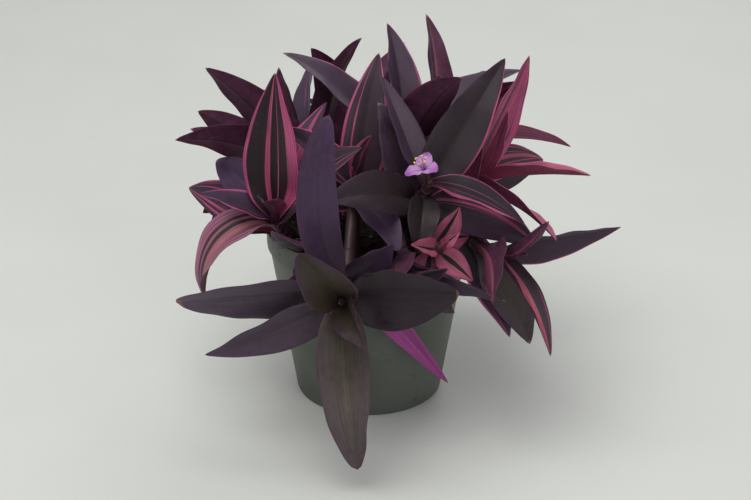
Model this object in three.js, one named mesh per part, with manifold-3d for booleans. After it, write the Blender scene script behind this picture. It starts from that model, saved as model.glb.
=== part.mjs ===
// Potted tradescantia: a round plastic nursery pot full of potting soil, in which rooted cuttings stand.
// Each cutting is a jointed stem with long folded leaves, dark purple or striped with pink, and one of
// them is in flower. Millimetres, +Z up. The origin is the centre of the pot's base, on the surface it
// stands on, and the front of the plant faces -Y.
import * as THREE from "three";
import { mergeVertices } from "three/addons/utils/BufferGeometryUtils.js";
import Module from "manifold-3d";

const wasm = await Module();
wasm.setup();

// Pot
const potHeight = 105;
const rimRadius = 60; // outside of the rim band, at the top
const baseRadius = 43;
const wall = 1.4;
const rimBand = 12; // height of the rim band
const rimStep = 1.8; // how far the band stands out from the body below it
const channelLift = 2.2; // the ring between the foot and the middle pad is lifted off the ground
const padRadius = 15;
const footInner = 38;
const drainCount = 8;
const drainRadius = 4.5;
const drainCircle = 27;
const potSides = 40;

// Soil
const soilDepth = 12; // how far the soil lies below the pot's top edge
const soilGap = 0.3;
const soilLump = 1.5; // height of its crumbs and hollows
const plantingDepth = 22; // how deep a cutting stands in the soil
const holeGap = 0.35;

// Stems
const stemRadius = 3.3;
const tipRadius = 1.8;
const sheathSwell = 1.0; // how much thicker the stem is where a leaf's sheath wraps it
const stemSides = 7;

// Leaves
const bladeThickness = 1.0;
const ribSteps = 28; // steps in which a midrib's curve is worked out
const stations = [0, 3, 9, 16, 23]; // the steps at which a blade has a section
const acrossHalf = 1; // strips on each side of its midrib
const outlineFoot = 0.015; // where along half a sine wave the outline starts, which sets how wide the foot is
const outlineSkew = 0.72; // below 1 the blade is widest nearer its foot than its tip
const outlinePower = 0.85; // below 1 the blade is fuller
const ribRounding = 0.12; // share of the half width over which the fold at the midrib is rounded
const clearance = 1.2; // thickness added to a blade while room is looked for
const freeShare = 0.22; // share of a blade's length, at its foot, that may touch its own plant
const groundRoom = 9; // height that hanging leaves keep above the ground

// Flower
const flowerAim = [-0.34, -0.3, 0.9];
const flowerStalk = 9;
const flowerGap = 0.6; // between the shoot's head and the stalk's foot

// The cuttings, from the ones at the front of the plant to the ones behind.
// root: where the stem leaves the soil; head: its tip; aim: the way the tip points; rise and reach: how
// long it keeps straight up and towards aim; leaves: how many; long and wide: its largest leaf; first and
// step: the leaves' places round the stem, in degrees from its back; open: the angle between stem and
// leaf, at a low leaf's foot and tip, then at a top leaf's foot and tip; sag: how much the leaf gives way
// to its weight; from: where along the stem the lowest leaf sits; hand: leaves that are set one by one,
// some with a full or skew outline, a fold or a sway of their own.
const cuttings = [
  {
    name: "shoot_front_dark",
    root: [-8, -26], head: [-14, -96, 101], aim: [-0.1, -0.92, 0.36], rise: 76, reach: 34, from: 0.7,
    hand: [
      { at: 0.86, turn: 344, open: [80, 124], long: 107, wide: 24, full: 0.52, skew: 0.95, sway: -33 },
      { at: 0.92, turn: 182, open: [48, 98], long: 95, wide: 34, full: 0.6 },
      { at: 0.82, turn: 283, open: [66, 96], long: 94, wide: 37, full: 0.52, skew: 0.9, sway: 18 },
      { at: 0.91, turn: 245, open: [78, 92], long: 86, wide: 27 },
      { at: 0.88, turn: 88, open: [78, 96], long: 62, wide: 43, full: 0.7 },
      { at: 0.78, turn: 54, open: [84, 112], long: 36, wide: 22 },
      { at: 0.96, turn: 134, open: [28, 38], long: 38, wide: 25 },
      { at: 0.975, turn: 338, open: [24, 44], long: 50, wide: 31, full: 0.6, fold: 30 },
      { at: 0.74, turn: 152, open: [86, 92], long: 98, wide: 18 },
      { at: 0.72, turn: 216, open: [88, 100], long: 56, wide: 26 },
    ],
    sag: 0.06, seed: 11,
  },
  {
    name: "shoot_left_striped",
    root: [-42, -16], head: [-53, -24, 119], aim: [0.12, -0.1, 0.98], rise: 9, reach: 9, from: 0.34,
    hand: [
      { at: 0.92, turn: 26, open: [16, 20], long: 86, wide: 40, fold: 20 },
      { at: 0.78, turn: 258, open: [40, 164], long: 74, wide: 34 },
      { at: 0.86, turn: 280, open: [50, 74], long: 46, wide: 22 },
      { at: 0.82, turn: 322, open: [42, 58], long: 66, wide: 28 },
      { at: 0.7, turn: 92, open: [46, 82], long: 78, wide: 30 },
      { at: 0.97, turn: 196, open: [28, 36], long: 44, wide: 20 },
      { at: 0.56, turn: 45, open: [48, 80], long: 80, wide: 30 },
      { at: 0.45, turn: 322, open: [58, 88], long: 84, wide: 28 },
    ],
    sag: 0.12, seed: 23,
  },
  {
    name: "shoot_flowering",
    root: [18, -20], head: [34, -45, 150], aim: [0.2, -0.48, 0.85], rise: 34, reach: 30,
    hand: [
      { at: 0.36, turn: 143, open: [52, 87], long: 78, wide: 31 },
      { at: 0.49, turn: 299, open: [53, 97], long: 86, wide: 30 },
      { at: 0.58, turn: 92, open: [59, 92], long: 90, wide: 32 },
      { at: 0.67, turn: 250, open: [48, 66], long: 70, wide: 28 },
      { at: 0.75, turn: 19, open: [63, 97], long: 91, wide: 31 },
      { at: 0.83, turn: 180, open: [70, 122], long: 36, wide: 22 },
      { at: 0.9, turn: 328, open: [74, 89], long: 74, wide: 21 },
      { at: 0.97, turn: 107, open: [76, 98], long: 58, wide: 23 },
    ],
    sag: 0.2, from: 0.36, seed: 37,
  },
  {
    name: "shoot_small_pink",
    root: [30, -34], head: [40, -62, 117], aim: [0.3, -0.72, 0.62], rise: 18, reach: 16,
    leaves: 6, long: 29, wide: 17, first: 60, step: 140,
    open: [62, 88, 40, 52], sag: 0.1, from: 0.5, seed: 41,
  },
  {
    name: "shoot_middle_striped",
    root: [-12, -6], head: [-7, -18, 136], aim: [-0.16, -0.3, 0.94], rise: 30, reach: 26,
    hand: [
      { at: 0.42, turn: 300, open: [44, 93], long: 73, wide: 27 },
      { at: 0.55, turn: 83, open: [40, 72], long: 70, wide: 30 },
      { at: 0.65, turn: 219, open: [36, 59], long: 80, wide: 30 },
      { at: 0.74, turn: 10, open: [30, 51], long: 87, wide: 28 },
      { at: 0.86, turn: 160, open: [56, 134], long: 64, wide: 27, full: 0.6 },
      { at: 0.9, turn: 292, open: [16, 34], long: 62, wide: 22 },
      { at: 0.97, turn: 79, open: [13, 22], long: 40, wide: 19 },
    ],
    sag: 0.2, from: 0.42, seed: 29,
  },
  {
    name: "shoot_tall_dark",
    root: [12, 8], head: [22, 10, 154], aim: [0.16, 0.02, 0.98], rise: 30, reach: 26,
    leaves: 8, long: 100, wide: 38, first: 200, step: 144,
    open: [50, 92, 14, 24], sag: 0.22, from: 0.3, seed: 53,
  },
  {
    name: "shoot_front_left",
    root: [-24, -36], head: [-36, -67, 104], aim: [-0.55, -0.8, 0.05], rise: 58, reach: 16,
    hand: [
      { at: 0.5, turn: 214, open: [60, 92], long: 54, wide: 27 },
      { at: 0.66, turn: 8, open: [60, 100], long: 40, wide: 26 },
      { at: 0.78, turn: 150, open: [50, 80], long: 48, wide: 24 },
      { at: 0.88, turn: 196, open: [46, 70], long: 46, wide: 22 },
      { at: 0.97, turn: 113, open: [33, 51], long: 30, wide: 15 },
    ],
    sag: 0.24, from: 0.5, seed: 131,
  },
  {
    name: "shoot_front_right",
    root: [12, -42], head: [24, -71, 104], aim: [0.35, -0.9, 0.05], rise: 56, reach: 16,
    hand: [
      { at: 0.5, turn: 132, open: [58, 90], long: 58, wide: 26 },
      { at: 0.66, turn: 282, open: [50, 74], long: 56, wide: 25 },
      { at: 0.78, turn: 62, open: [46, 66], long: 60, wide: 25 },
      { at: 0.88, turn: 108, open: [48, 66], long: 38, wide: 22 },
      { at: 0.97, turn: 10, open: [32, 46], long: 30, wide: 15 },
    ],
    sag: 0.24, from: 0.5, seed: 137,
  },
  {
    name: "shoot_right_low",
    root: [38, -14], head: [78, -52, 108], aim: [0.74, -0.56, 0.3], rise: 40, reach: 28,
    leaves: 7, long: 86, wide: 29, first: 176, step: 140,
    open: [54, 96, 26, 36], sag: 0.28, from: 0.5, seed: 101,
  },
  {
    name: "shoot_left_low",
    root: [-38, 12], head: [-60, 50, 122], aim: [-0.5, 0.7, 0.5], rise: 34, reach: 28,
    leaves: 7, long: 72, wide: 28, first: 230, step: 141,
    open: [54, 92, 24, 36], sag: 0.28, from: 0.5, seed: 113,
  },
  {
    name: "shoot_right_pink",
    root: [36, 8], head: [66, 4, 136], aim: [0.6, -0.1, 0.78], rise: 28, reach: 24,
    leaves: 7, long: 92, wide: 31, first: 75, step: 153,
    open: [50, 90, 16, 28], sag: 0.25, from: 0.36, seed: 71,
  },
  {
    name: "shoot_back_left",
    root: [-20, 20], head: [-42, 38, 140], aim: [-0.42, 0.36, 0.83], rise: 30, reach: 26,
    leaves: 8, long: 98, wide: 33, first: 172, step: 150,
    open: [50, 90, 14, 26], sag: 0.24, from: 0.34, seed: 67,
  },
  {
    name: "shoot_back_right",
    root: [26, 32], head: [46, 60, 140], aim: [0.42, 0.55, 0.74], rise: 28, reach: 24,
    leaves: 7, long: 94, wide: 31, first: 10, step: 147,
    open: [50, 90, 14, 26], sag: 0.24, from: 0.4, seed: 83,
  },
  {
    name: "shoot_back",
    root: [-6, 42], head: [-12, 78, 122], aim: [-0.15, 0.8, 0.58], rise: 30, reach: 24,
    leaves: 7, long: 92, wide: 30, first: 40, step: 155,
    open: [54, 94, 18, 30], sag: 0.26, from: 0.44, seed: 97,
  },
];

// Turning a leaf round its stem, lifting it or keeping it shorter, in the order in which they are tried.
const bends = [];
for (const share of [1, 0.86, 0.72, 0.58, 0.46])
  for (const lift of [0, -12, 12, -24, 24])
    for (const turn of [0, 12, -12, 24, -24, 36, -36, 48, -48, 60, -60]) bends.push({ share, lift, turn });
bends.sort((a, b) => cost(a) - cost(b));

function cost({ share, lift, turn }) {
  const firstOfTwo = (turn < 0 ? 0.01 : 0) + (lift < 0 ? 0.02 : 0);
  return (1 - share) * 240 + Math.abs(lift) + Math.abs(turn) * 1.05 + firstOfTwo;
}

// A repeatable draw from 0 to 1 for each seed.
function drawer(seed) {
  let state = seed * 7919;
  return () => {
    state = (state * 16807) % 2147483647;
    return state / 2147483647;
  };
}

const vector = (x, y, z) => new THREE.Vector3(x, y, z);
const radians = (degrees) => (degrees * Math.PI) / 180;
const mix = (a, b, share) => a + (b - a) * share;
const bodyRadius = (z) => mix(baseRadius, rimRadius - rimStep, z / (potHeight - rimBand));
const soilTop = potHeight - soilDepth;

// A closed mesh as a solid. Faces that fold to nothing, such as those on a lathe's axis, are left out.
function solidOf(geometry) {
  const loose = geometry.index ? geometry.toNonIndexed() : geometry;
  const bare = new THREE.BufferGeometry().setAttribute("position", loose.attributes.position);
  const merged = mergeVertices(bare, 1e-3);
  const corners = merged.index.array;
  const kept = [];
  for (let i = 0; i < corners.length; i += 3) {
    const [a, b, c] = [corners[i], corners[i + 1], corners[i + 2]];
    if (a !== b && b !== c && a !== c) kept.push(a, b, c);
  }
  return new wasm.Manifold(
    new wasm.Mesh({
      numProp: 3,
      vertProperties: merged.attributes.position.array,
      triVerts: new Uint32Array(kept),
    }),
  );
}

function geometryOf(solid) {
  const { numProp, numVert, vertProperties, triVerts } = solid.getMesh();
  const places = new Float32Array(numVert * 3);
  for (let i = 0; i < numVert; i++) places.set(vertProperties.subarray(i * numProp, i * numProp + 3), i * 3);
  const geometry = new THREE.BufferGeometry();
  geometry.setAttribute("position", new THREE.BufferAttribute(places, 3));
  geometry.setIndex(new THREE.BufferAttribute(triVerts, 1));
  geometry.computeVertexNormals();
  return geometry;
}

// A turned solid, from its outline as [radius, height] pairs.
function turned(outline, sides) {
  const points = outline.map(([radius, z]) => new THREE.Vector2(radius, z));
  return solidOf(new THREE.LatheGeometry(points, sides).rotateX(Math.PI / 2));
}

function indexedSolid(points, faces) {
  const geometry = new THREE.BufferGeometry();
  const places = points.flatMap((p) => [p.x, p.y, p.z]);
  geometry.setAttribute("position", new THREE.Float32BufferAttribute(places, 3));
  geometry.setIndex(faces);
  return solidOf(geometry);
}

// A solid through rings of points, closed at both ends.
function lofted(rings) {
  const sides = rings[0].length;
  const points = rings.flat();
  const faces = [];
  for (let r = 0; r + 1 < rings.length; r++)
    for (let i = 0; i < sides; i++) {
      const [a, b] = [r * sides + i, r * sides + ((i + 1) % sides)];
      faces.push(a, b, b + sides, a, b + sides, a + sides);
    }
  const last = (rings.length - 1) * sides;
  for (let i = 1; i + 1 < sides; i++) faces.push(0, i + 1, i, last, last + i, last + i + 1);
  return indexedSolid(points, faces);
}

// A solid with its box and the number of the cutting it belongs to, to find what it touches.
function boxed(solid, owner) {
  return { solid, owner, box: solid.boundingBox() };
}

function touch(a, b) {
  const apart = [0, 1, 2].some((i) => a.box.min[i] > b.box.max[i] || b.box.min[i] > a.box.max[i]);
  return !apart && a.solid.intersect(b.solid).volume() > 0;
}

function makePot() {
  const innerFloor = wall + 0.2;
  const bandFoot = potHeight - rimBand;
  const outside = [
    [0, 0], [padRadius - 2, 0], [padRadius, channelLift], [footInner - 2, channelLift], [footInner, 0],
    [baseRadius - 0.8, 0], [bodyRadius(1), 1], [bodyRadius(bandFoot), bandFoot],
    [rimRadius - 0.5, bandFoot], [rimRadius, potHeight - 0.8], [rimRadius - 0.7, potHeight],
  ];
  const inside = [
    [rimRadius - wall, potHeight], [rimRadius - wall - 0.5, potHeight - 0.8],
    [rimRadius - wall - 0.6, bandFoot + wall], [bodyRadius(bandFoot) - wall, bandFoot - 0.5],
    [bodyRadius(innerFloor) - wall, innerFloor], [footInner + 1, innerFloor],
    [footInner - 1, channelLift + innerFloor], [padRadius + 1, channelLift + innerFloor],
    [padRadius - 1, innerFloor], [0, innerFloor],
  ];
  let pot = turned([...outside, ...inside], potSides);
  for (let i = 0; i < drainCount; i++) {
    const angle = ((i + 0.5) / drainCount) * 2 * Math.PI;
    const drill = new THREE.CylinderGeometry(drainRadius, drainRadius, 12, 12).rotateX(Math.PI / 2);
    drill.translate(drainCircle * Math.cos(angle), drainCircle * Math.sin(angle), channelLift);
    pot = pot.subtract(solidOf(drill));
  }
  return pot;
}

function soilHeight(x, y) {
  const short = Math.sin(x * 0.21 + 1.3) * Math.cos(y * 0.17 - 0.6);
  const waves = short + 0.6 * Math.sin(x * 0.09 - y * 0.13 + 0.4);
  return soilTop + (soilLump * waves) / 1.6;
}

function makeSoil(roots) {
  const low = channelLift + wall + 0.2 + soilGap;
  const edge = (z) => bodyRadius(z) - wall - soilGap - 0.35;
  const top = [edge(soilTop), 47, 38, 28, 18, 9, 0].map((radius) => [radius, soilTop]);
  const outline = [[0, low], [edge(low), low], [edge(soilTop - 4), soilTop - 4], ...top];
  const corners = outline.map(([radius, z]) => new THREE.Vector2(radius, z));
  const lathe = new THREE.LatheGeometry(corners, 24).rotateX(Math.PI / 2);
  const place = lathe.attributes.position;
  for (let i = 0; i < place.count; i++)
    if (place.getZ(i) > soilTop - 1) place.setZ(i, soilHeight(place.getX(i), place.getY(i)));
  let soil = solidOf(lathe);
  const holeSides = 8;
  for (const [x, y] of roots) {
    const radius = (stemRadius + holeGap) / Math.cos(Math.PI / holeSides);
    const hole = new THREE.CylinderGeometry(radius, radius, 2 * plantingDepth, holeSides).rotateX(Math.PI / 2);
    hole.translate(x, y, soilTop + 0.35 - holeGap);
    soil = soil.subtract(solidOf(hole));
  }
  return soil;
}

// The stem's curve from the soil's surface to its head, with its thickness there.
function stemCurve(cutting) {
  const foot = vector(cutting.root[0], cutting.root[1], soilTop + 4);
  const head = vector(...cutting.head);
  const aim = vector(...cutting.aim).normalize();
  return new THREE.CubicBezierCurve3(
    foot,
    foot.clone().add(vector(0, 0, cutting.rise)),
    head.clone().addScaledVector(aim, -cutting.reach),
    head,
  );
}

const leafCount = (cutting) => (cutting.hand ? cutting.hand.length : cutting.leaves);

// Where along the stem its leaves sit, from the lowest to the youngest. They crowd towards the tip.
function leafPlaces(cutting) {
  if (cutting.hand) return cutting.hand.map((leaf) => leaf.at);
  const last = cutting.leaves - 1;
  return Array.from({ length: last + 1 }, (_, i) => {
    const share = i / last;
    return cutting.from + (0.97 - cutting.from) * Math.pow(share, 0.8);
  });
}

function makeStem(cutting) {
  const curve = stemCurve(cutting);
  const places = leafPlaces(cutting);
  const steps = 13;
  const [x, y] = cutting.root;
  const below = [soilTop - plantingDepth + 0.35, soilTop - 2].map((z) => vector(x, y, z));
  const centres = [...below];
  const ways = [vector(0, 0, 1), vector(0, 0, 1)];
  const radii = [stemRadius, stemRadius];
  for (let k = 0; k <= steps; k++) {
    const t = k / steps;
    const nearest = Math.min(...places.map((p) => Math.abs(p + 0.02 - t)));
    centres.push(curve.getPoint(t));
    ways.push(curve.getTangent(t));
    radii.push(mix(stemRadius, tipRadius, t ** 3) + (k > 0 && nearest < 0.04 ? sheathSwell * (1 - t * 0.5) : 0));
  }
  const side = vector(0, 1, 0);
  const rings = centres.map((centre, k) => {
    const way = ways[k];
    side.addScaledVector(way, -side.dot(way)).normalize();
    const other = way.clone().cross(side);
    return Array.from({ length: stemSides }, (_, i) => {
      const angle = (i / stemSides) * 2 * Math.PI;
      return centre
        .clone()
        .addScaledVector(side, radii[k] * Math.cos(angle))
        .addScaledVector(other, radii[k] * Math.sin(angle));
    });
  });
  return lofted(rings);
}

// What one leaf is, before it is bent clear of others.
function leafOf(cutting, i, draw) {
  const curve = stemCurve(cutting);
  const t = leafPlaces(cutting)[i];
  const age = (0.97 - t) / (0.97 - cutting.from); // 1 for the lowest leaf, 0 for the youngest
  const draws = Array.from({ length: 9 }, draw);
  const set = cutting.hand ? cutting.hand[i] : drawnLeaf(cutting, i, draws);
  return {
    foot: curve.getPoint(t),
    axis: curve.getTangent(t),
    radius: mix(stemRadius, tipRadius, t ** 3),
    turn: set.turn,
    openFoot: set.open[0],
    openTip: set.open[1],
    sag: cutting.sag * mix(0.3, 1, age) * mix(0.6, 1.4, draws[0]),
    long: set.long,
    half: set.wide / 2,
    power: set.full ?? outlinePower,
    skew: set.skew ?? outlineSkew,
    foldFoot: 64,
    fold: set.fold ?? mix(44, 15, Math.min(1, age * 2)) + (draws[1] - 0.5) * 8,
    sway: set.sway ?? (draws[2] - 0.5) * 22,
    twist: (draws[3] - 0.5) * 34,
  };
}

function drawnLeaf(cutting, i, draws) {
  const age = 1 - i / (cutting.leaves - 1);
  const size = age > 0.5 ? mix(1, 0.84, (age - 0.5) * 2) : mix(0.5, 1, Math.sqrt(age * 2));
  const [lowFoot, lowTip, topFoot, topTip] = cutting.open;
  return {
    turn: cutting.first + cutting.step * i + (draws[4] - 0.5) * 16,
    open: [
      mix(topFoot, lowFoot, age) + (draws[5] - 0.5) * 8,
      mix(topTip, lowTip, age) + (draws[6] - 0.5) * 16,
    ],
    long: cutting.long * size * mix(0.92, 1.04, draws[7]),
    wide: cutting.wide * mix(0.62, 1, Math.min(1, age * 2.2)) * mix(0.92, 1.06, draws[8]),
  };
}

// The midrib's points, with the way it runs, the way across it and the way its upper face looks.
function ribOf(leaf, bend) {
  const turn = radians(leaf.turn + bend.turn);
  const lean = new THREE.Quaternion().setFromUnitVectors(vector(0, 0, 1), leaf.axis);
  const out = vector(Math.sin(turn), Math.cos(turn), 0).applyQuaternion(lean);
  const across = leaf.axis.clone().cross(out);
  const long = leaf.long * bend.share;
  const place = leaf.foot.clone().addScaledVector(out, leaf.radius * 0.7);
  const rib = [];
  for (let k = 0; k <= ribSteps; k++) {
    const s = k / ribSteps;
    const open = radians(mix(leaf.openFoot, leaf.openTip + bend.lift, s ** 0.75) + bend.lift * 0.5);
    const way = leaf.axis
      .clone()
      .multiplyScalar(Math.cos(open))
      .addScaledVector(out, Math.sin(open))
      .addScaledVector(across, Math.tan(radians(leaf.sway)) * s)
      .add(vector(0, 0, -leaf.sag * 2 * s * s))
      .normalize();
    const side = across.clone().addScaledVector(way, -across.dot(way)).normalize();
    const face = way.clone().cross(side);
    const twist = radians(leaf.twist * s);
    rib.push({
      s,
      place: place.clone(),
      way,
      side: side.clone().multiplyScalar(Math.cos(twist)).addScaledVector(face, Math.sin(twist)),
      face: face.clone().multiplyScalar(Math.cos(twist)).addScaledVector(side, -Math.sin(twist)),
    });
    place.addScaledVector(way, long / ribSteps);
  }
  return rib;
}

function halfWidth(leaf, s) {
  return leaf.half * Math.sin(Math.PI * mix(outlineFoot, 1, s) ** leaf.skew) ** leaf.power;
}

// A point of the blade's middle surface: u runs from -1 at one edge to 1 at the other.
function bladePoint(leaf, station, u) {
  const { s, place, side, face } = station;
  const fold = radians(mix(leaf.fold, leaf.foldFoot, Math.max(0, 1 - s * 4) ** 1.5));
  const half = halfWidth(leaf, s);
  const raised = Math.sqrt(u * u + ribRounding ** 2) - ribRounding;
  return place
    .clone()
    .addScaledVector(side, half * u * Math.cos(fold))
    .addScaledVector(face, half * raised * Math.sin(fold));
}

// A blade as a thin closed solid. Both faces are split into the same triangles.
function makeBlade(leaf, bend, thickness, from = 0) {
  const rib = ribOf(leaf, bend);
  const across = 2 * acrossHalf + 1;
  const points = [];
  const faces = [];
  const rows = [];
  for (const step of stations) {
    const station = rib[step];
    if (station.s < from) continue;
    const middle = [];
    for (let j = 0; j < across; j++) middle.push(bladePoint(leaf, station, j / acrossHalf - 1));
    rows.push({ middle, way: station.way });
  }
  for (const { middle, way } of rows)
    for (const level of [thickness / 2, -thickness / 2])
      middle.forEach((point, j) => {
        const run = middle[Math.min(j + 1, across - 1)].clone().sub(middle[Math.max(j - 1, 0)]);
        points.push(point.clone().addScaledVector(run.cross(way).normalize(), level));
      });
  const top = (r, j) => r * 2 * across + j;
  const under = (r, j) => top(r, j) + across;
  for (let r = 0; r + 1 < rows.length; r++) {
    for (let j = 0; j + 1 < across; j++) {
      faces.push(top(r, j), top(r, j + 1), top(r + 1, j + 1), top(r, j), top(r + 1, j + 1), top(r + 1, j));
      faces.push(under(r, j), under(r + 1, j + 1), under(r, j + 1));
      faces.push(under(r, j), under(r + 1, j), under(r + 1, j + 1));
    }
    for (const [j, flip] of [[0, false], [across - 1, true]]) {
      const quad = [under(r, j), top(r, j), top(r + 1, j), under(r, j), top(r + 1, j), under(r + 1, j)];
      faces.push(...(flip ? quad.reverse() : quad));
    }
  }
  const last = rows.length - 1;
  const tip = points.length;
  points.push(rib[ribSteps].place);
  for (let j = 0; j + 1 < across; j++) {
    faces.push(under(0, j), under(0, j + 1), top(0, j + 1), under(0, j), top(0, j + 1), top(0, j));
    faces.push(top(last, j), top(last, j + 1), tip, under(last, j + 1), under(last, j), tip);
  }
  faces.push(under(last, 0), top(last, 0), tip, top(last, across - 1), under(last, across - 1), tip);
  const blade = indexedSolid(points, faces);
  if (blade.volume() < 0) throw new Error("a blade is inside out");
  return blade;
}

// The flower: three petals and six stamens on a short stalk, standing on the flowering shoot's head.
function makeFlower(head, aim) {
  const start = head.clone().addScaledVector(aim, flowerGap);
  const centre = start.clone().addScaledVector(aim, flowerStalk);
  let flower = rod(start, centre, 0.8, 1.3);
  const side = vector(1, 0, 0).addScaledVector(aim, -aim.x).normalize();
  const other = aim.clone().cross(side);
  const around = (angle) =>
    side.clone().multiplyScalar(Math.cos(angle)).addScaledVector(other, Math.sin(angle));
  for (let i = 0; i < 3; i++) {
    const petal = {
      foot: centre.clone().addScaledVector(aim, -0.8), axis: aim, radius: 1.2, turn: 120 * i + 15,
      openFoot: 50, openTip: 98, sag: 0, long: 11, half: 5, power: 0.62, skew: outlineSkew,
      foldFoot: 30, fold: 14, sway: 0, twist: 0,
    };
    flower = flower.add(makeBlade(petal, { share: 1, lift: 0, turn: 0 }, 0.7));
  }
  for (let i = 0; i < 6; i++) {
    const way = around((i * Math.PI) / 3 + 0.3);
    const root = centre.clone().addScaledVector(aim, -0.4).addScaledVector(way, 0.75);
    const tip = centre.clone().addScaledVector(aim, 6.5).addScaledVector(way, 3.4);
    const anther = new THREE.OctahedronGeometry(1.0, 0).translate(tip.x, tip.y, tip.z);
    flower = flower.add(rod(root, tip, 0.4, 0.32)).add(solidOf(anther));
  }
  return flower;
}

function rod(from, to, startRadius, endRadius) {
  const way = to.clone().sub(from).normalize();
  const side = vector(0, way.y > 0.9 ? 0 : 1, way.y > 0.9 ? 1 : 0);
  side.addScaledVector(way, -side.dot(way)).normalize();
  const other = way.clone().cross(side);
  const ring = (centre, radius) =>
    Array.from({ length: 4 }, (_, i) => {
      const angle = (i * Math.PI) / 2;
      return centre
        .clone()
        .addScaledVector(side, radius * Math.cos(angle))
        .addScaledVector(other, radius * Math.sin(angle));
    });
  return lofted([ring(from, startRadius), ring(to, endRadius)]);
}

const pot = makePot();
const soil = makeSoil(cuttings.map((cutting) => cutting.root));
const ground = solidOf(new THREE.BoxGeometry(900, 900, 20).translate(0, 0, groundRoom - 10));
const stems = cuttings.map(makeStem);
const flowering = cuttings.find((cutting) => cutting.name === "shoot_flowering");
const flower = makeFlower(vector(...flowering.head), vector(...flowerAim).normalize());

// The leaves, each bent until it is clear of all that is there already. The two cuttings at the front
// come first with all their leaves, then the rest take turns, from their youngest leaves to their oldest.
const shoots = [...stems];
const solids = [pot, soil, ground, flower].map((solid) => boxed(solid, -1));
stems.forEach((stem, c) => solids.push(boxed(stem, c)));
const leaves = cuttings.map((cutting) => {
  const draw = drawer(cutting.seed);
  return Array.from({ length: leafCount(cutting) }, (_, i) => leafOf(cutting, i, draw));
});
const order = [];
for (const c of [0, 1]) leaves[c].forEach((leaf) => order.push({ c, leaf }));
const most = Math.max(...leaves.map((row) => row.length));
for (let young = 1; young <= most; young++)
  leaves.forEach((row, c) => c > 1 && row.length >= young && order.push({ c, leaf: row[row.length - young] }));

for (const { c, leaf } of order) {
  const bend = bends.find((tried) => {
    const blade = boxed(makeBlade(leaf, tried, bladeThickness + clearance), c);
    if (solids.some((other) => other.owner !== c && touch(blade, other))) return false;
    const end = boxed(makeBlade(leaf, tried, bladeThickness + clearance, freeShare), c);
    const own = solids.filter((other) => other.owner === c && other.end);
    return !own.some((other) => touch(end, other) || touch(blade, other.end));
  });
  if (!bend) continue;
  shoots[c] = shoots[c].add(makeBlade(leaf, bend, bladeThickness));
  const thick = boxed(makeBlade(leaf, bend, bladeThickness + clearance), c);
  thick.end = boxed(makeBlade(leaf, bend, bladeThickness + clearance, freeShare), c);
  solids.push(thick);
}

const potPlastic = new THREE.MeshStandardMaterial({ color: 0x6a6c63, roughness: 0.5, metalness: 0 });
const soilBrown = new THREE.MeshStandardMaterial({ color: 0x2e2119, roughness: 0.95, metalness: 0 });
const darkLeaf = new THREE.MeshStandardMaterial({ color: 0x47384a, roughness: 0.45, metalness: 0 });
const pinkLeaf = new THREE.MeshStandardMaterial({ color: 0x8a3c60, roughness: 0.45, metalness: 0 });
const petalLilac = new THREE.MeshStandardMaterial({ color: 0xb583c4, roughness: 0.6, metalness: 0 });

const plant = new THREE.Group();
function place(name, solid, material) {
  const mesh = new THREE.Mesh(geometryOf(solid), material);
  mesh.name = name;
  plant.add(mesh);
}
place("pot", pot, potPlastic);
place("soil", soil, soilBrown);
cuttings.forEach(({ name }, c) => {
  place(name, shoots[c], /pink|striped/.test(name) ? pinkLeaf : darkLeaf);
});
place("flower", flower, petalLilac);

export default plant;
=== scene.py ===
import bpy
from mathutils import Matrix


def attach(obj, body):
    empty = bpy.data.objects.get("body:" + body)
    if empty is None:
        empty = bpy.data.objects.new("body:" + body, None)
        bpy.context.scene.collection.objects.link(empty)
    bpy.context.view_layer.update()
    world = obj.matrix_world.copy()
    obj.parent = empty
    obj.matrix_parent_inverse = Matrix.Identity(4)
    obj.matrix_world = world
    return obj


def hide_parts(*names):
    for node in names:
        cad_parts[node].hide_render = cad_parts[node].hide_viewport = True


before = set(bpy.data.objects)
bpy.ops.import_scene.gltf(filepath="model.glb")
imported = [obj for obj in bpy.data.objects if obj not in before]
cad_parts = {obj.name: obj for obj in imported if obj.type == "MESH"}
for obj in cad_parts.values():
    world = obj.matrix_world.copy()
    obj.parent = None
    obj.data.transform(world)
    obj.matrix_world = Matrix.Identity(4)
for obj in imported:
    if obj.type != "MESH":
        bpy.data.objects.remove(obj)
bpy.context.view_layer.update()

import itertools
import math
import random

import bpy
import numpy as np
from mathutils import Vector, noise
from mathutils.kdtree import KDTree

# A potted tradescantia: a plastic nursery pot full of potting mix, fourteen leafy shoots and one flower.
# Shapes are worked out in millimetres, with the origin under the middle of the pot and the front at -Y.
mm = 0.001


def mix(a, b, share):
    return a + (b - a) * share


def smooth(low, high, value):
    share = np.clip((value - low) / (high - low), 0, 1)
    return share * share * (3 - 2 * share)


def unit(vectors):
    return vectors / np.linalg.norm(vectors, axis=-1, keepdims=True)


def array(*numbers):
    return np.array(numbers, dtype=float)


def colour(red, green, blue):
    # From the 0 to 255 of a colour picker to the linear values that a shader takes.
    shares = [value / 255 for value in (red, green, blue)]
    return (*[s / 12.92 if s < 0.04045 else ((s + 0.055) / 1.055) ** 2.4 for s in shares], 1)


class Value:
    # A socket that plain arithmetic works on: every sign adds a Math node.
    def __init__(self, paint, socket):
        self.paint = paint
        self.socket = socket

    def maths(self, operation, *others):
        return self.paint.node("Math", {"operation": operation}, [self, *others])

    def __add__(self, other):
        return self.maths("ADD", other)

    def __mul__(self, other):
        return self.maths("MULTIPLY", other)

    def __sub__(self, other):
        return self.maths("SUBTRACT", other)

    def __rsub__(self, other):
        return self.paint.node("Math", {"operation": "SUBTRACT"}, [other, self])

    def __truediv__(self, other):
        return self.maths("DIVIDE", other)

    def __abs__(self):
        return self.maths("ABSOLUTE")

    __radd__ = __add__
    __rmul__ = __mul__


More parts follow.
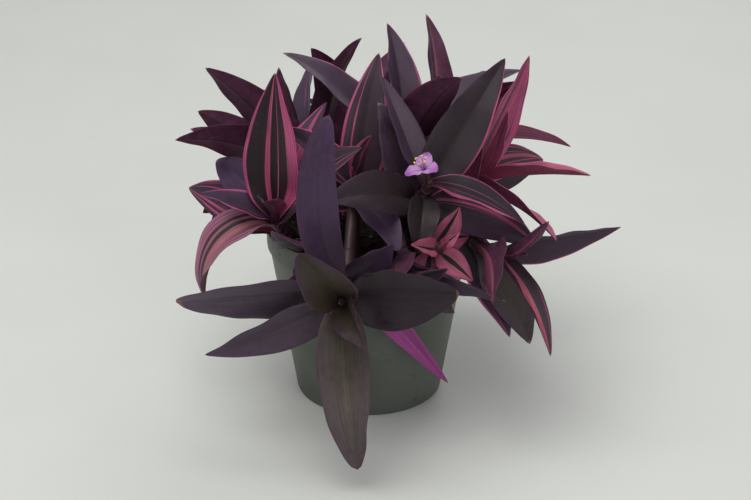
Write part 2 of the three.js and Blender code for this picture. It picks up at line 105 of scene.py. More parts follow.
class Paint:
    # The nodes of one material, with the named colours that it blends.
    def __init__(self, name, colours):
        self.material = bpy.data.materials.new(name)
        self.material.use_nodes = True
        self.tree = self.material.node_tree
        self.tree.nodes.clear()
        self.shades = {key: colour(*value) for key, value in colours.items()}

    def node(self, kind, settings=None, inputs=None, output=0):
        made = self.tree.nodes.new("ShaderNode" + kind)
        for key, value in (settings or {}).items():
            setattr(made, key, value)
        pairs = inputs.items() if isinstance(inputs, dict) else enumerate(inputs or [])
        for key, value in pairs:
            if isinstance(value, Value):
                self.tree.links.new(value.socket, made.inputs[key])
            else:
                made.inputs[key].default_value = value
        return Value(self, made.outputs[output])

    def parts(self, vector, count):
        return [self.node("SeparateXYZ", None, [vector], axis) for axis in range(count)]

    def uv(self, name):
        return self.parts(self.node("UVMap", {"uv_map": name}), 2)

    def place(self):
        return self.node("TexCoord", output="Object")

    def vector(self, x, y, z):
        return self.node("CombineXYZ", None, [x, y, z])

    def noise(self, place, scale=1.0, detail=2.0, roughness=0.5):
        inputs = {"Vector": place, "Scale": scale, "Detail": detail, "Roughness": roughness}
        return self.node("TexNoise", None, inputs)

    def step(self, low, high, value):
        inputs = {"Value": value, "From Min": low, "From Max": high}
        return self.node("MapRange", {"interpolation_type": "SMOOTHSTEP"}, inputs)

    def blend(self, share, first, second):
        # Mix keeps its colour sockets behind those for numbers and vectors.
        first, second = (self.shades[pick] if isinstance(pick, str) else pick for pick in (first, second))
        return self.node("Mix", {"data_type": "RGBA"}, {0: share, 6: first, 7: second}, 2)

    def coat(self, body, *coats):
        # The body's colour with others laid over it one by one, each by its own share.
        for share, shade in coats:
            body = self.blend(share, body, shade)
        return body

    def finish(self, height=None, depth=0.0002, strength=0.5, **sockets):
        inputs = {key.replace("_", " "): value for key, value in sockets.items()}
        if height is not None:
            bump = {"Height": height, "Distance": depth, "Strength": strength}
            inputs["Normal"] = self.node("Bump", None, bump)
        shader = self.node("BsdfPrincipled", None, inputs)
        end = self.tree.nodes.new("ShaderNodeOutputMaterial")
        self.tree.links.new(shader.socket, end.inputs["Surface"])
        return self.material


def grainPaint(name, first, second, scale, detail=2.0, depth=None, edges=None, **sockets):
    # A plain finish of two colours, mixed by fine grain that may also roughen it.
    paint = Paint(name, {"first": first, "second": second})
    grain = paint.noise(paint.place(), scale, detail)
    body = paint.blend(paint.step(*edges, grain) if edges else grain, "first", "second")
    return paint.finish(grain if depth else None, depth, Base_Color=body, **sockets)


class Form:
    # A mesh that is gathered bit by bit, with what its paint needs to know at each point.
    layers = ("blade", "draw", "tone", "accent")

    def __init__(self, name):
        self.name = name
        self.points = []
        self.faces = []
        self.finishes = []
        self.marks = {layer: [] for layer in self.layers}
        self.count = 0

    def add(self, points, faces, finish, **marks):
        points = np.asarray(points, dtype=float).reshape(-1, 3)
        self.points.append(points)
        self.faces += [[corner + self.count for corner in face] for face in faces]
        self.finishes += [finish] * len(faces)
        for layer in self.layers:
            mark = np.asarray(marks.get(layer, (0, 0)), dtype=float)
            self.marks[layer].append(np.broadcast_to(mark, (len(points), 2)))
        self.count += len(points)

    def build(self, materials):
        mesh = bpy.data.meshes.new(self.name)
        mesh.from_pydata((np.concatenate(self.points) * mm).tolist(), [], self.faces)
        corners = np.zeros(len(mesh.loops), dtype=np.int32)
        mesh.loops.foreach_get("vertex_index", corners)
        for layer in self.layers:
            values = np.concatenate(self.marks[layer])[corners]
            mesh.uv_layers.new(name=layer).data.foreach_set("uv", values.astype(np.float32).ravel())
        for material in materials.values():
            mesh.materials.append(material)
        order = {finish: i for i, finish in enumerate(materials)}
        mesh.polygons.foreach_set("material_index", [order.get(finish, 0) for finish in self.finishes])
        mesh.polygons.foreach_set("use_smooth", [True] * len(mesh.polygons))
        mesh.validate()
        mesh.update()
        piece = bpy.data.objects.new(self.name, mesh)
        bpy.context.collection.objects.link(piece)
        return piece


def standFor(piece, node, slot):
    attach(piece, "root")
    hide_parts(node)
    print(f"{piece.name}: {len(piece.data.polygons)} faces")


def anglesRound(sides):
    return np.arange(sides) * 2 * math.pi / sides


def onCircle(radius, angle):
    return radius * math.cos(angle), radius * math.sin(angle)


def ringOf(side, other, sides):
    angles = anglesRound(sides)
    return np.cos(angles)[:, None] * side + np.sin(angles)[:, None] * other


def tubeFaces(rings, sides, closed=True, inward=False):
    faces = []
    for r in range(rings - 1):
        for i in range(sides):
            a, b = r * sides + i, r * sides + (i + 1) % sides
            faces.append([a, a + sides, b + sides, b] if inward else [a, b, b + sides, a + sides])
    if closed:
        faces += [list(range(sides))[::-1], [(rings - 1) * sides + i for i in range(sides)]]
    return faces


def gridMark(lanes, heights):
    # Where each point of a piece lies across it and along it.
    return np.stack(np.broadcast_arrays(lanes[None, :], heights[:, None]), axis=-1).reshape(-1, 2)


def tubeMark(sides, heights):
    return gridMark(np.abs(np.linspace(-1, 1, sides, endpoint=False)), heights)


def framesAlong(ways):
    # Two directions across a curve at each of its points, carried on from one point to the next.
    side = array(0, 1, 0)
    pairs = []
    for way in ways:
        if abs(way @ side) > 0.98:
            side = array(1, 0, 0)
        side = unit(side - way * (way @ side))
        pairs.append((side, np.cross(way, side)))
    return pairs


def tube(centres, radii, sides):
    centres = np.asarray(centres, dtype=float)
    frames = framesAlong(unit(np.gradient(centres, axis=0)))
    rings = [spot + radius * ringOf(*pair, sides) for spot, radius, pair in zip(centres, radii, frames)]
    return np.concatenate(rings), tubeFaces(len(centres), sides)


def addHair(form, root, way, length, radius, finish, **marks):
    # A stiff hair that narrows to a point, bent a little downwards.
    way = unit(way)
    ring = ringOf(*framesAlong([way])[0], 3)
    middle = root + way * length * 0.55
    tip = root + way * length - array(0, 0, 0.12 * length)
    faces = [[2, 1, 0]]
    for i in range(3):
        j = (i + 1) % 3
        faces += [[i, j, j + 3, i + 3], [i + 3, j + 3, 6]]
    form.add([*(root + ring * radius), *(middle + ring * radius * 0.7), tip], faces, finish, **marks)


# The shoots. Their sizes, places and turns are those of the solids that they stand for.
# tone: how much of a leaf is pink and how warm its colours are; accent: how pink its edge is and how much
# pale bloom, with painted sheen and painted highlight on it, lies on it. Each is given as what is usual on
# the shoot;
# spread is how far a leaf may differ from its tone. Each row of its leaves gives a leaf's place along the
# stem, its turn about it, how far its foot and its tip open, its length and its width, and perhaps some
# values of its own.
shootList = [
    dict(
        name="front_dark", slot="leaf_dark", seed=11, root=(-8, -26), head=(-14, -96, 101),
        aim=(-0.1, -0.92, 0.36), rise=76, reach=34, low=0.7, sag=0.06, tone=(0.04, 0.15),
        accent=(0.1, 0.45), spread=(0.05, 0.12),
        leaves=[
            (0.86, 344, (80, 124), 107, 24, dict(
                full=0.52, skew=0.95, sway=-33, tone=(0.02, 0), accent=(0.2, 0.6), seed=0.97,
            )),
            (0.92, 182, (48, 98), 95, 34, dict(full=0.6, tone=(0.1, 0.95), accent=(0.35, 1))),
            (0.82, 283, (66, 96), 94, 37, dict(
                full=0.52, skew=0.9, sway=18, tone=(0.03, 0.35), accent=(0.1, 1), seed=0.01,
            )),
            (0.91, 245, (78, 92), 86, 27, dict(tone=(0.03, 0.4), accent=(0.1, 1))),
            # This leaf's dark paint is painted shade.
            (0.88, 88, (78, 96), 62, 43, dict(
                full=0.7, tone=(0.5, 0.25), accent=(0.05, 0.15), paint="singleMarginLeaf",
            )),
            (0.78, 54, (84, 112), 36, 22),
            (0.96, 134, (28, 38), 38, 25, dict(tone=(0.02, 1), accent=(0.2, 0.05))),
            (0.975, 338, (24, 44), 50, 31, dict(full=0.6, fold=30, tone=(0.02, 1), accent=(0.2, 0.03))),
            # This leaf's magenta carries painted glow of light through it.
            (0.74, 152, (86, 92), 98, 18, dict(tone=(0.97, 0), accent=(0.9, 0.4), paint="magentaLeaf")),
            (0.72, 216, (88, 100), 56, 26, dict(tone=(0.2, 0.25), accent=(0.4, 0.1))),
        ],
    ),
    dict(
        name="left_striped", slot="leaf_striped", seed=23, root=(-42, -16), head=(-53, -24, 119),
        aim=(0.12, -0.1, 0.98), rise=9, reach=9, low=0.34, sag=0.12, tone=(0.42, 0.25),
        accent=(0.6, 0.15), spread=(0.12, 0.2),
        leaves=[
            (0.92, 26, (16, 20), 86, 40, dict(
                fold=20, tone=(0.66, 0.2), accent=(0.75, 0.04), paint="uprightStripedLeaf",
            )),
            (0.78, 258, (40, 164), 74, 34, dict(
                tone=(0.3, 0.55), accent=(0.5, 0.5), paint="archingStripedLeaf",
            )),
            (0.86, 280, (50, 74), 46, 22, dict(tone=(0.3, 0.1), accent=(1, 0.2))),
            (0.82, 322, (42, 58), 66, 28, dict(tone=(0.1, 0), accent=(0.2, 0.6))),
            (0.7, 92, (46, 82), 78, 30), (0.97, 196, (28, 36), 44, 20), (0.56, 45, (48, 80), 80, 30),
            (0.45, 322, (58, 88), 84, 28),
        ],
    ),
    dict(
        name="flowering", slot="leaf_striped", seed=37, root=(18, -20), head=(34, -45, 150),
        aim=(0.2, -0.48, 0.85), rise=34, reach=30, low=0.36, sag=0.2, tone=(0.2, 0.25),
        accent=(0.55, 0.12), spread=(0.2, 0.2),
        leaves=[
            (0.36, 143, (52, 87), 78, 31), (0.49, 299, (53, 97), 86, 30), (0.58, 92, (59, 92), 90, 32),
            # The next three leaves' dark paint is painted shade.
            (0.67, 250, (48, 66), 70, 28, dict(
                tone=(0.45, 0.4), accent=(0.1, 0.1), paint="singleMarginLeaf",
            )),
            (0.75, 19, (63, 97), 91, 31, dict(
                tone=(0.42, 0.3), accent=(0.6, 0.1), paint="singleMarginLeaf",
            )),
            (0.83, 180, (70, 122), 36, 22, dict(
                tone=(0.5, 0.6), accent=(0.1, 0.1), paint="singleMarginLeaf",
            )),
            (0.9, 328, (74, 89), 74, 21),
            (0.97, 107, (76, 98), 58, 23, dict(tone=(0.7, 0.15), accent=(1, 0.25), paint="stripedBract")),
        ],
    ),
    dict(
        name="small_pink", slot="leaf_pink", seed=41, root=(30, -34), head=(40, -62, 117),
        aim=(0.3, -0.72, 0.62), rise=18, reach=16, low=0.5, sag=0.1, count=6, long=29, wide=17, first=60,
        step=140, open=(62, 88, 40, 52), tone=(0.7, 0.45), accent=(0.9, 0.1), spread=(0.06, 0.12),
        paint="smallPinkLeaf",
    ),
    dict(
        name="middle_striped", slot="leaf_striped", seed=29, root=(-12, -6), head=(-7, -18, 136),
        aim=(-0.16, -0.3, 0.94), rise=30, reach=26, low=0.42, sag=0.2, tone=(0.42, 0.35), accent=(1, 0.1),
        spread=(0.15, 0.2),
        leaves=[
            (0.42, 300, (44, 93), 73, 27), (0.55, 83, (40, 72), 70, 30), (0.65, 219, (36, 59), 80, 30),
            (0.74, 10, (30, 51), 87, 28),
            (0.86, 160, (56, 134), 64, 27, dict(full=0.6, tone=(0.03, 0.1), accent=(0.15, 0.5))),
            (0.9, 292, (16, 34), 62, 22), (0.97, 79, (13, 22), 40, 19),
        ],
    ),
    dict(
        name="tall_dark", slot="leaf_dark", seed=53, root=(12, 8), head=(22, 10, 154),
        aim=(0.16, 0.02, 0.98), rise=30, reach=26, low=0.3, sag=0.22, count=8, long=100, wide=38,
        first=200, step=144, open=(50, 92, 14, 24), tone=(0.06, 0.25), accent=(0.6, 0.2),
        spread=(0.06, 0.15),
    ),
    dict(
        name="front_left", slot="leaf_dark", seed=131, root=(-24, -36), head=(-36, -67, 104),
        aim=(-0.55, -0.8, 0.05), rise=58, reach=16, low=0.5, sag=0.24, tone=(0.1, 0.1), accent=(0.3, 0.3),
        spread=(0.1, 0.1),
        leaves=[
            (0.5, 214, (60, 92), 54, 27), (0.66, 8, (60, 100), 40, 26), (0.78, 150, (50, 80), 48, 24),
            (0.88, 196, (46, 70), 46, 22), (0.97, 113, (33, 51), 30, 15),
        ],
    ),
    dict(
        name="front_right", slot="leaf_dark", seed=137, root=(12, -42), head=(24, -71, 104),
        aim=(0.35, -0.9, 0.05), rise=56, reach=16, low=0.5, sag=0.24, tone=(0.08, 0.3), accent=(0.2, 0.3),
        spread=(0.08, 0.2),
        leaves=[
            (0.5, 132, (58, 90), 58, 26), (0.66, 282, (50, 74), 56, 25), (0.78, 62, (46, 66), 60, 25),
            (0.88, 108, (48, 66), 38, 22), (0.97, 10, (32, 46), 30, 15),
        ],
    ),
    dict(
        name="right_low", slot="leaf_dark", seed=101, root=(38, -14), head=(78, -52, 108),
        aim=(0.74, -0.56, 0.3), rise=40, reach=28, low=0.5, sag=0.28, count=7, long=86, wide=29,
        first=176, step=140, open=(54, 96, 26, 36), tone=(0.3, 0.4), accent=(0.6, 0.3),
        spread=(0.25, 0.3),
    ),
    dict(
        name="left_low", slot="leaf_dark", seed=113, root=(-38, 12), head=(-60, 50, 122),
        aim=(-0.5, 0.7, 0.5), rise=34, reach=28, low=0.5, sag=0.28, count=7, long=72, wide=28, first=230,
        step=141, open=(54, 92, 24, 36), tone=(0.15, 0.2), accent=(0.4, 0.4), spread=(0.15, 0.2),
    ),
    dict(
        name="right_pink", slot="leaf_pink", seed=71, root=(36, 8), head=(66, 4, 136),
        aim=(0.6, -0.1, 0.78), rise=28, reach=24, low=0.36, sag=0.25, count=7, long=92, wide=31, first=75,
        step=153, open=(50, 90, 16, 28), tone=(0.66, 0.35), accent=(0.8, 0.15), spread=(0.2, 0.25),
    ),
    dict(
        name="back_left", slot="leaf_dark", seed=67, root=(-20, 20), head=(-42, 38, 140),
        aim=(-0.42, 0.36, 0.83), rise=30, reach=26, low=0.34, sag=0.24, count=8, long=98, wide=33,
        first=172, step=150, open=(50, 90, 14, 26), tone=(0.05, 0.05), accent=(0.15, 0.6),
        spread=(0.05, 0.08),
    ),
    dict(
        name="back_right", slot="leaf_striped", seed=83, root=(26, 32), head=(46, 60, 140),
        aim=(0.42, 0.55, 0.74), rise=28, reach=24, low=0.4, sag=0.24, count=7, long=94, wide=31, first=10,
        step=147, open=(50, 90, 14, 26), tone=(0.42, 0.25), accent=(0.7, 0.2), spread=(0.18, 0.25),
    ),
    dict(
        name="back", slot="leaf_dark", seed=97, root=(-6, 42), head=(-12, 78, 122),
        aim=(-0.15, 0.8, 0.58), rise=30, reach=24, low=0.44, sag=0.26, count=7, long=92, wide=30,
        first=40, step=155, open=(54, 94, 18, 30), tone=(0.1, 0.15), accent=(0.4, 0.4),
        spread=(0.12, 0.15),
    ),
]

soilTop = 93
topPlace = 0.97  # how far up its stem a shoot's youngest leaf sits

stemShape = {
    "radius": 3.3, "tipRadius": 1.8,
    "tipCap": ((0.7, 0.86), (1.2, 0.58), (1.45, 0.2)),  # its rounded end: how far on, and how wide
    "depth": 21.65,  # how deep it stands in the potting mix
    "sides": 18, "steps": 64, "nodeSwell": 0.7, "nodeReach": 3.0, "sheathSides": 20, "sheathLong": 10.0,
    "sheathLeast": 2.5, "sheathLevels": 9, "sheathWall": 0.4, "sheathSunk": 0.3, "mouthRise": 0.9,
    "flare": 0.45,  # how far the sheath's mouth stands off
    "sheathHairs": 11, "hairLong": (1.0, 2.4), "hairThick": 0.04, "budLong": 15.0,
    "budRadius": (0.2, 1.9), "budLip": 0.25, "budLevels": 15, "budSides": 14, "budFlat": 0.72,
}

leafShape = {
    "folds": (44, 15), "foldSpread": 8, "swaySpread": 22, "twistSpread": 34, "turnSpread": 16,
    "footSpread": 8, "tipSpread": 16,
    "lengths": (0.5, 1, 0.84),  # of the youngest leaf, one half way up and the oldest, as shares
    "ribSteps": 28, "stations": 52, "acrossPoints": 19, "outlineFoot": 0.015, "outlineSkew": 0.72,
    "outlinePower": 0.85, "ribRounding": 0.12, "footFold": 64, "edgeThickness": 0.34,
    "middleThickness": 0.85, "keel": 0.45, "keelWidth": 0.09,
    "crown": 0.05,  # how far each half arches, as a share of its width
    "wave": 0.5,
    "clasp": 0.13,  # share of the blade that turns into the sheath
    "claspAngle": (126, 62), "claspRise": 2.2,
    "marginHairs": 5,  # on each side, near the foot
    "hairLong": (0.7, 1.6), "hairThick": 0.035,
}

# How a leaf may have been bent: its share of the full length, its lift and its turn.
bends = [
    (1, 0.86, 0.72, 0.58, 0.46),
    (0, -12, 12, -24, 24),
    (0, 12, -12, 24, -24, 36, -36, 48, -48, 60, -60),
]
bendNear = 0.03


def drawer(seed):
    # The same repeatable draws that placed the solids' leaves.
    state = seed * 7919
    while True:
        state = state * 16807 % 2147483647
        yield state / 2147483647


def stemCurve(shoot):
    aim = unit(array(*shoot["aim"]))
    head = array(*shoot["head"])
    foot = array(*shoot["root"], soilTop + 4)
    return foot, foot + array(0, 0, shoot["rise"]), head - aim * shoot["reach"], head


def curvePoint(curve, t):
    a, b, c, d = curve
    rest = 1 - t
    return a * rest**3 + b * 3 * rest**2 * t + c * 3 * rest * t**2 + d * t**3


def curveWay(curve, t):
    a, b, c, d = curve
    rest = 1 - t
    return unit((b - a) * rest**2 + (c - b) * 2 * rest * t + (d - c) * t**2)


def stemRadius(t):
    return mix(stemShape["radius"], stemShape["tipRadius"], t**3)


def leafPlaces(shoot):
    if "leaves" in shoot:
        return [row[0] for row in shoot["leaves"]]
    last = shoot["count"] - 1
    return [mix(shoot["low"], topPlace, (i / last) ** 0.8) for i in range(last + 1)]


def drawnLeaf(shoot, i, draws):
    age = 1 - i / (shoot["count"] - 1)
    shape = leafShape
    young, full, old = shape["lengths"]
    size = mix(full, old, (age - 0.5) * 2) if age > 0.5 else mix(young, full, math.sqrt(age * 2))
    lowFoot, lowTip, topFoot, topTip = shoot["open"]
    foot = mix(topFoot, lowFoot, age) + (draws[5] - 0.5) * shape["footSpread"]
    tip = mix(topTip, lowTip, age) + (draws[6] - 0.5) * shape["tipSpread"]
    return {
        "turn": shoot["first"] + shoot["step"] * i + (draws[4] - 0.5) * shape["turnSpread"],
        "open": (foot, tip),
        "long": shoot["long"] * size * mix(0.92, 1.04, draws[7]),
        "wide": shoot["wide"] * mix(0.62, 1, min(1, age * 2.2)) * mix(0.92, 1.06, draws[8]),
    }


def rowLeaf(turn, opening, long, wide, own=()):
    return {"turn": turn, "open": opening, "long": long, "wide": wide, **dict(own)}


def leafOf(shoot, i, draws):
    curve = stemCurve(shoot)
    t = leafPlaces(shoot)[i]
    age = (topPlace - t) / (topPlace - shoot["low"])
    own = rowLeaf(*shoot["leaves"][i][1:]) if "leaves" in shoot else drawnLeaf(shoot, i, draws)
    return {
        "t": t,
        "foot": curvePoint(curve, t),
        "axis": curveWay(curve, t),
        "radius": stemRadius(t),
        "sag": shoot["sag"] * mix(0.3, 1, age) * mix(0.6, 1.4, draws[0]),
        "fold": mix(*leafShape["folds"], min(1, age * 2)) + (draws[1] - 0.5) * leafShape["foldSpread"],
        "footFold": leafShape["footFold"],
        "full": leafShape["outlinePower"],
        "skew": leafShape["outlineSkew"],
        "sway": (draws[2] - 0.5) * leafShape["swaySpread"],
        "twist": (draws[3] - 0.5) * leafShape["twistSpread"],
        "paint": shoot.get("paint", "tradescantiaLeaf"),
        **own,
    }


def ribOf(leaf, share=1.0, lift=0.0, turn=0.0):
    # The midrib's points, with the way it runs, the way across it and the way its upper face looks.
    steps = leafShape["ribSteps"]
    s = np.linspace(0, 1, steps + 1)[:, None]
    axis, up = leaf["axis"], array(0, 0, 1)
    angle = math.radians(leaf["turn"] + turn)
    flat = array(math.sin(angle), math.cos(angle), 0)
    lean = np.cross(up, axis)
    out = flat + np.cross(lean, flat) + np.cross(lean, np.cross(lean, flat)) / (1 + axis[2])
    across = np.cross(axis, out)
    opening = np.radians(mix(leaf["open"][0], leaf["open"][1] + lift, s**0.75) + lift * 0.5)
    way = axis * np.cos(opening) + out * np.sin(opening) + across * math.tan(math.radians(leaf["sway"])) * s
    way = unit(way - up * leaf["sag"] * 2 * s**2)
    side = unit(across - way * (way @ across)[:, None])
    face = np.cross(way, side)
    twist = np.radians(leaf["twist"] * s)
    strides = np.concatenate([np.zeros((1, 3)), np.cumsum(way[:-1], axis=0)])
    return {
        "place": leaf["foot"] + out * leaf["radius"] * 0.7 + strides * leaf["long"] * share / steps,
        "side": side * np.cos(twist) + face * np.sin(twist),
        "face": face * np.cos(twist) - side * np.sin(twist),
        "out": out,
        "across": across,
    }


def settledRib(leaf, corners):
    # Leaves were bent clear of each other: the bend that was kept ends at one of the solid's corners.
    for bend in itertools.product(*bends):
        rib = ribOf(leaf, *bend)
        if corners.find(rib["place"][-1])[2] < bendNear:
            return rib
    return None


def cornersOf(node):
    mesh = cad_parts[node].data
    tree = KDTree(len(mesh.vertices))
    for i, vertex in enumerate(mesh.vertices):
        tree.insert(vertex.co / mm, i)
    tree.balance()
    return tree


def along(values, shares):
    # Points on a smooth curve through the given ones.
    last = len(values) - 1
    place = np.clip(shares * last, 0, last - 1e-6)
    k = place.astype(int)
    t = (place - k)[:, None]
    before, start, end, after = (values[np.clip(k + step, 0, last)] for step in (-1, 0, 1, 2))
    lift = (end - before) * 0.5
    land = (after - start) * 0.5
    return (
        start * (2 * t**3 - 3 * t**2 + 1) + lift * (t**3 - 2 * t**2 + t)
        + end * (3 * t**2 - 2 * t**3) + land * (t**3 - t**2)
    )


def ribAlong(rib, stations):
    place, side, face = (along(rib[key], stations)[:, None, :] for key in ("place", "side", "face"))
    return place, unit(side), unit(face)


def normalsOf(surface):
    return unit(np.cross(np.gradient(surface, axis=0), np.gradient(surface, axis=1)))


def halfWidth(leaf, s):
    waist = mix(leafShape["outlineFoot"], 1, s) ** leaf["skew"]
    return leaf["wide"] / 2 * np.sin(math.pi * waist) ** leaf["full"]


def bladeSurface(leaf, rib, s, u, rng):
    # The blade's middle surface: s runs from foot to tip, u from -1 at one edge to 1 at the other.
    shape = leafShape
    place, side, face = ribAlong(rib, s[:, 0])
    rows, columns = s[:, :, None], u[:, :, None]
    half = halfWidth(leaf, rows)
    fold = np.radians(mix(leaf["fold"], leaf["footFold"], np.clip(1 - rows * 4, 0, 1) ** 1.5))
    raised = np.sqrt(columns**2 + shape["ribRounding"] ** 2) - shape["ribRounding"]
    points = place + side * half * columns * np.cos(fold) + face * half * raised * np.sin(fold)
    away = face * np.cos(fold) - side * np.sign(columns) * np.sin(fold)
    apart = np.abs(columns)
    points = points + away * half * shape["crown"] * 4 * apart * (1 - apart)
    phases = [rng.uniform(0, 2 * math.pi) for _ in range(4)]
    turns = rng.uniform(2.2, 3.6)
    left = np.sin(turns * math.pi * 2 * rows + phases[0]) + 0.6 * np.sin(turns * 5.3 * rows + phases[1])
    right = np.sin(turns * math.pi * 2.2 * rows + phases[2]) + 0.6 * np.sin(turns * 4.7 * rows + phases[3])
    ruffle = np.where(columns < 0, left, right) * smooth(0.08, 0.3, rows) * smooth(1, 0.8, rows)
    return points + away * shape["wave"] * leaf["wide"] / 32 * apart**2.5 * ruffle


def claspSurface(leaf, rib, s, u):
    # The foot of the blade, wrapped round its stem.
    shape = leafShape
    share = np.clip(s / shape["clasp"], 0, 1)[:, :, None]
    angle = np.radians(mix(*shape["claspAngle"], share)) * u[:, :, None]
    radial = rib["out"] * np.cos(angle) + rib["across"] * np.sin(angle)
    reach = leaf["radius"] + stemShape["sheathWall"] + stemShape["flare"] * share
    return leaf["foot"] + leaf["axis"] * share * shape["claspRise"] + radial * reach


def addBlade(form, rings, count, rib, lanes, stations, finish, **marks):
    # A thin closed blade from its rings: count points across the upper face, as many back across the
    # lower one, and perhaps one on each edge.
    rows, around = rings.shape[:2]
    edged = around > 2 * count
    last, tip, low = (rows - 1) * around, rows * around, 2 * count - 1 + edged
    faces = tubeFaces(rows, around, closed=False, inward=True)
    faces += [[last + i, tip, last + (i + 1) % around] for i in range(around)]
    faces += [[j, j + 1, low - j - 1, low - j] for j in range(count - 1)]
    if edged:
        faces += [[around - 1, 0, low], [count - 1, count, count + 1]]
    points = np.concatenate([rings.reshape(-1, 3), rib["place"][-1:]])
    blade = np.concatenate([gridMark(lanes, stations), [[0.5, 1]]])
    form.add(points, faces, finish, blade=blade, **marks)


def addLeaf(form, leaf, rib, marks, rng):
    shape = leafShape
    count, edge = shape["acrossPoints"], shape["edgeThickness"]
    stations = np.linspace(0, 1, shape["stations"] + 1)[:-1] ** 0.92 * 0.99
    s, u = np.meshgrid(stations, np.linspace(-1, 1, count), indexing="ij")
    blade = bladeSurface(leaf, rib, s, u, rng)
    middle = mix(claspSurface(leaf, rib, s, u), blade, smooth(0, shape["clasp"], s)[:, :, None])
    normal = normalsOf(middle)
    outward = unit(np.gradient(middle, axis=1))
    taper = smooth(1.02, 0.8, s) * 0.7 + 0.3
    thick = mix(shape["middleThickness"], edge, np.abs(u) ** 0.7) * taper
    keel = shape["keel"] * np.exp(-((u / shape["keelWidth"]) ** 2)) * taper
    upper = middle + normal * (thick / 2)[:, :, None]
    under = middle - normal * (thick / 2 + keel)[:, :, None]
    right = middle[:, -1:] + outward[:, -1:] * (edge * 0.5)
    left = middle[:, :1] - outward[:, :1] * (edge * 0.5)
    rings = np.concatenate([upper, right, under[:, ::-1], left], axis=1)
    lanes = np.concatenate([u[0], [1], u[0][::-1], [-1]]) / 2 + 0.5
    upperness = [1] * count + [0.5] + [0] * count + [0.5]
    draw = [(marks["seed"], value) for value in upperness * len(stations) + [0.5]]
    addBlade(form, rings, count, rib, lanes, stations, leaf["paint"], draw=draw, **marks)
    return (rings[:, count], outward[:, -1]), (rings[:, -1], -outward[:, 0])


def addMarginHairs(form, edges, rng):
    shape = leafShape
    for edge, outward in edges:
        for _ in range(shape["marginHairs"]):
            k = rng.randint(3, len(edge) // 3)
            root = mix(edge[k], edge[k + 1], rng.random())
            way = outward[k] + unit(edge[k + 1] - edge[k]) * rng.uniform(0.2, 0.9)
            long = rng.uniform(*shape["hairLong"])
            addHair(form, root - unit(way) * 0.1, way, long, shape["hairThick"], "hair")


def addSheath(form, shoot, leaf, rib, low, marks, rng):
    # The closed sleeve below a leaf, with a hairy mouth that is higher on the leaf's side.
    shape = stemShape
    curve = stemCurve(shoot)
    sides = shape["sheathSides"]
    levels = np.linspace(0, 1, shape["sheathLevels"])
    lift = shape["mouthRise"]
    outer, inner = [], []
    for level in levels:
        t = mix(low, leaf["t"], level)
        centre, way = curvePoint(curve, t), curveWay(curve, t)
        out = unit(rib["out"] - way * (way @ rib["out"]))
        radial = ringOf(out, np.cross(way, out), sides)
        rise = way * (level**2 * (lift + lift * np.cos(anglesRound(sides))))[:, None]
        wall = shape["sheathWall"] * smooth(0, 0.15, level) + shape["flare"] * level**3
        outer.append(centre + radial * (stemRadius(t) + wall) + rise)
        inner.append(centre + radial * (stemRadius(t) - shape["sheathSunk"]) + rise)
    rings = outer + inner[::-1]
    faces = tubeFaces(len(rings), sides, closed=False)
    last = (len(rings) - 1) * sides
    faces += [[last + i, last + (i + 1) % sides, (i + 1) % sides, i] for i in range(sides)]
    blade = tubeMark(sides, np.concatenate([levels, levels[::-1]]))
    form.add(np.concatenate(rings), faces, "stem", blade=blade, draw=(marks["seed"], 1), **marks)
    mouth = outer[-1]
    way = curveWay(curve, leaf["t"])
    for _ in range(shape["sheathHairs"]):
        i = rng.randrange(sides)
        lean = way + unit(mouth[i] - mouth.mean(axis=0)) * rng.uniform(0.2, 0.9)
        reach = rng.uniform(*shape["hairLong"])
        addHair(form, mouth[i] - way * 0.2, lean, reach, shape["hairThick"], "hair")


def addStem(form, shoot, places, seed):
    shape = stemShape
    curve = stemCurve(shoot)
    t = np.linspace(0, 1, shape["steps"])
    centres = [array(*shoot["root"], soilTop - shape["depth"])]
    centres += [curvePoint(curve, 0) - array(0, 0, drop) for drop in (6, 3)]
    centres += [curvePoint(curve, value) for value in t]
    long = sum(np.linalg.norm(b - a) for a, b in zip(centres[3:], centres[4:]))
    radii = [shape["radius"]] * 3
    for value in t:
        near = min(abs(place + 0.005 - value) for place in places) * long
        swell = shape["nodeSwell"] * (1 - 0.5 * value) * math.exp(-((near / shape["nodeReach"]) ** 2))
        radii.append(stemRadius(value) + swell)
    for rise, share in shape["tipCap"]:
        centres.append(curve[3] + curveWay(curve, 1) * rise)
        radii.append(shape["tipRadius"] * share)
    blade = tubeMark(shape["sides"], np.linspace(0, long / 40, len(centres)))
    points, faces = tube(centres, radii, shape["sides"])
    form.add(points, faces, "stem", blade=blade, draw=(seed, 0), tone=shoot["tone"], accent=shoot["accent"])
    return long


def addBud(form, shoot, marks):
    # The youngest leaf, still rolled up on the tip of its shoot.
    shape = stemShape
    way = unit(array(*shoot["aim"]))
    side, other = framesAlong([way])[0]
    sides, levels = shape["budSides"], np.linspace(0, 1, shape["budLevels"])
    least, more = shape["budRadius"]
    ring = ringOf(side, other * shape["budFlat"], sides)
    rings = []
    for level in levels:
        radius = least + more * math.sin(math.pi * mix(0.3, 0.97, level)) ** 1.3
        lip = shape["budLip"] * np.maximum(0, np.cos(anglesRound(sides) * 0.5 - level * 1.2)) ** 6
        start = array(*shoot["head"]) + way * (level * shape["budLong"] - 1)
        rings.append(start + ring * (radius + lip[:, None]))
    blade = tubeMark(sides, levels)
    faces = tubeFaces(len(rings), sides)
    draw = (marks["seed"], 0.2)
    form.add(np.concatenate(rings), faces, "tradescantiaLeaf", blade=blade, draw=draw, **marks)


def marksOf(shoot, leaf, rng):
    marks = {}
    for key, spread in (("tone", shoot["spread"]), ("accent", (0.3, 0.2))):
        drawn = [usual + rng.uniform(-1, 1) * most for usual, most in zip(shoot[key], spread)]
        marks[key] = [min(1, max(0, value)) for value in drawn]
    marks["seed"] = rng.random()
    return {key: leaf.get(key, value) for key, value in marks.items()}


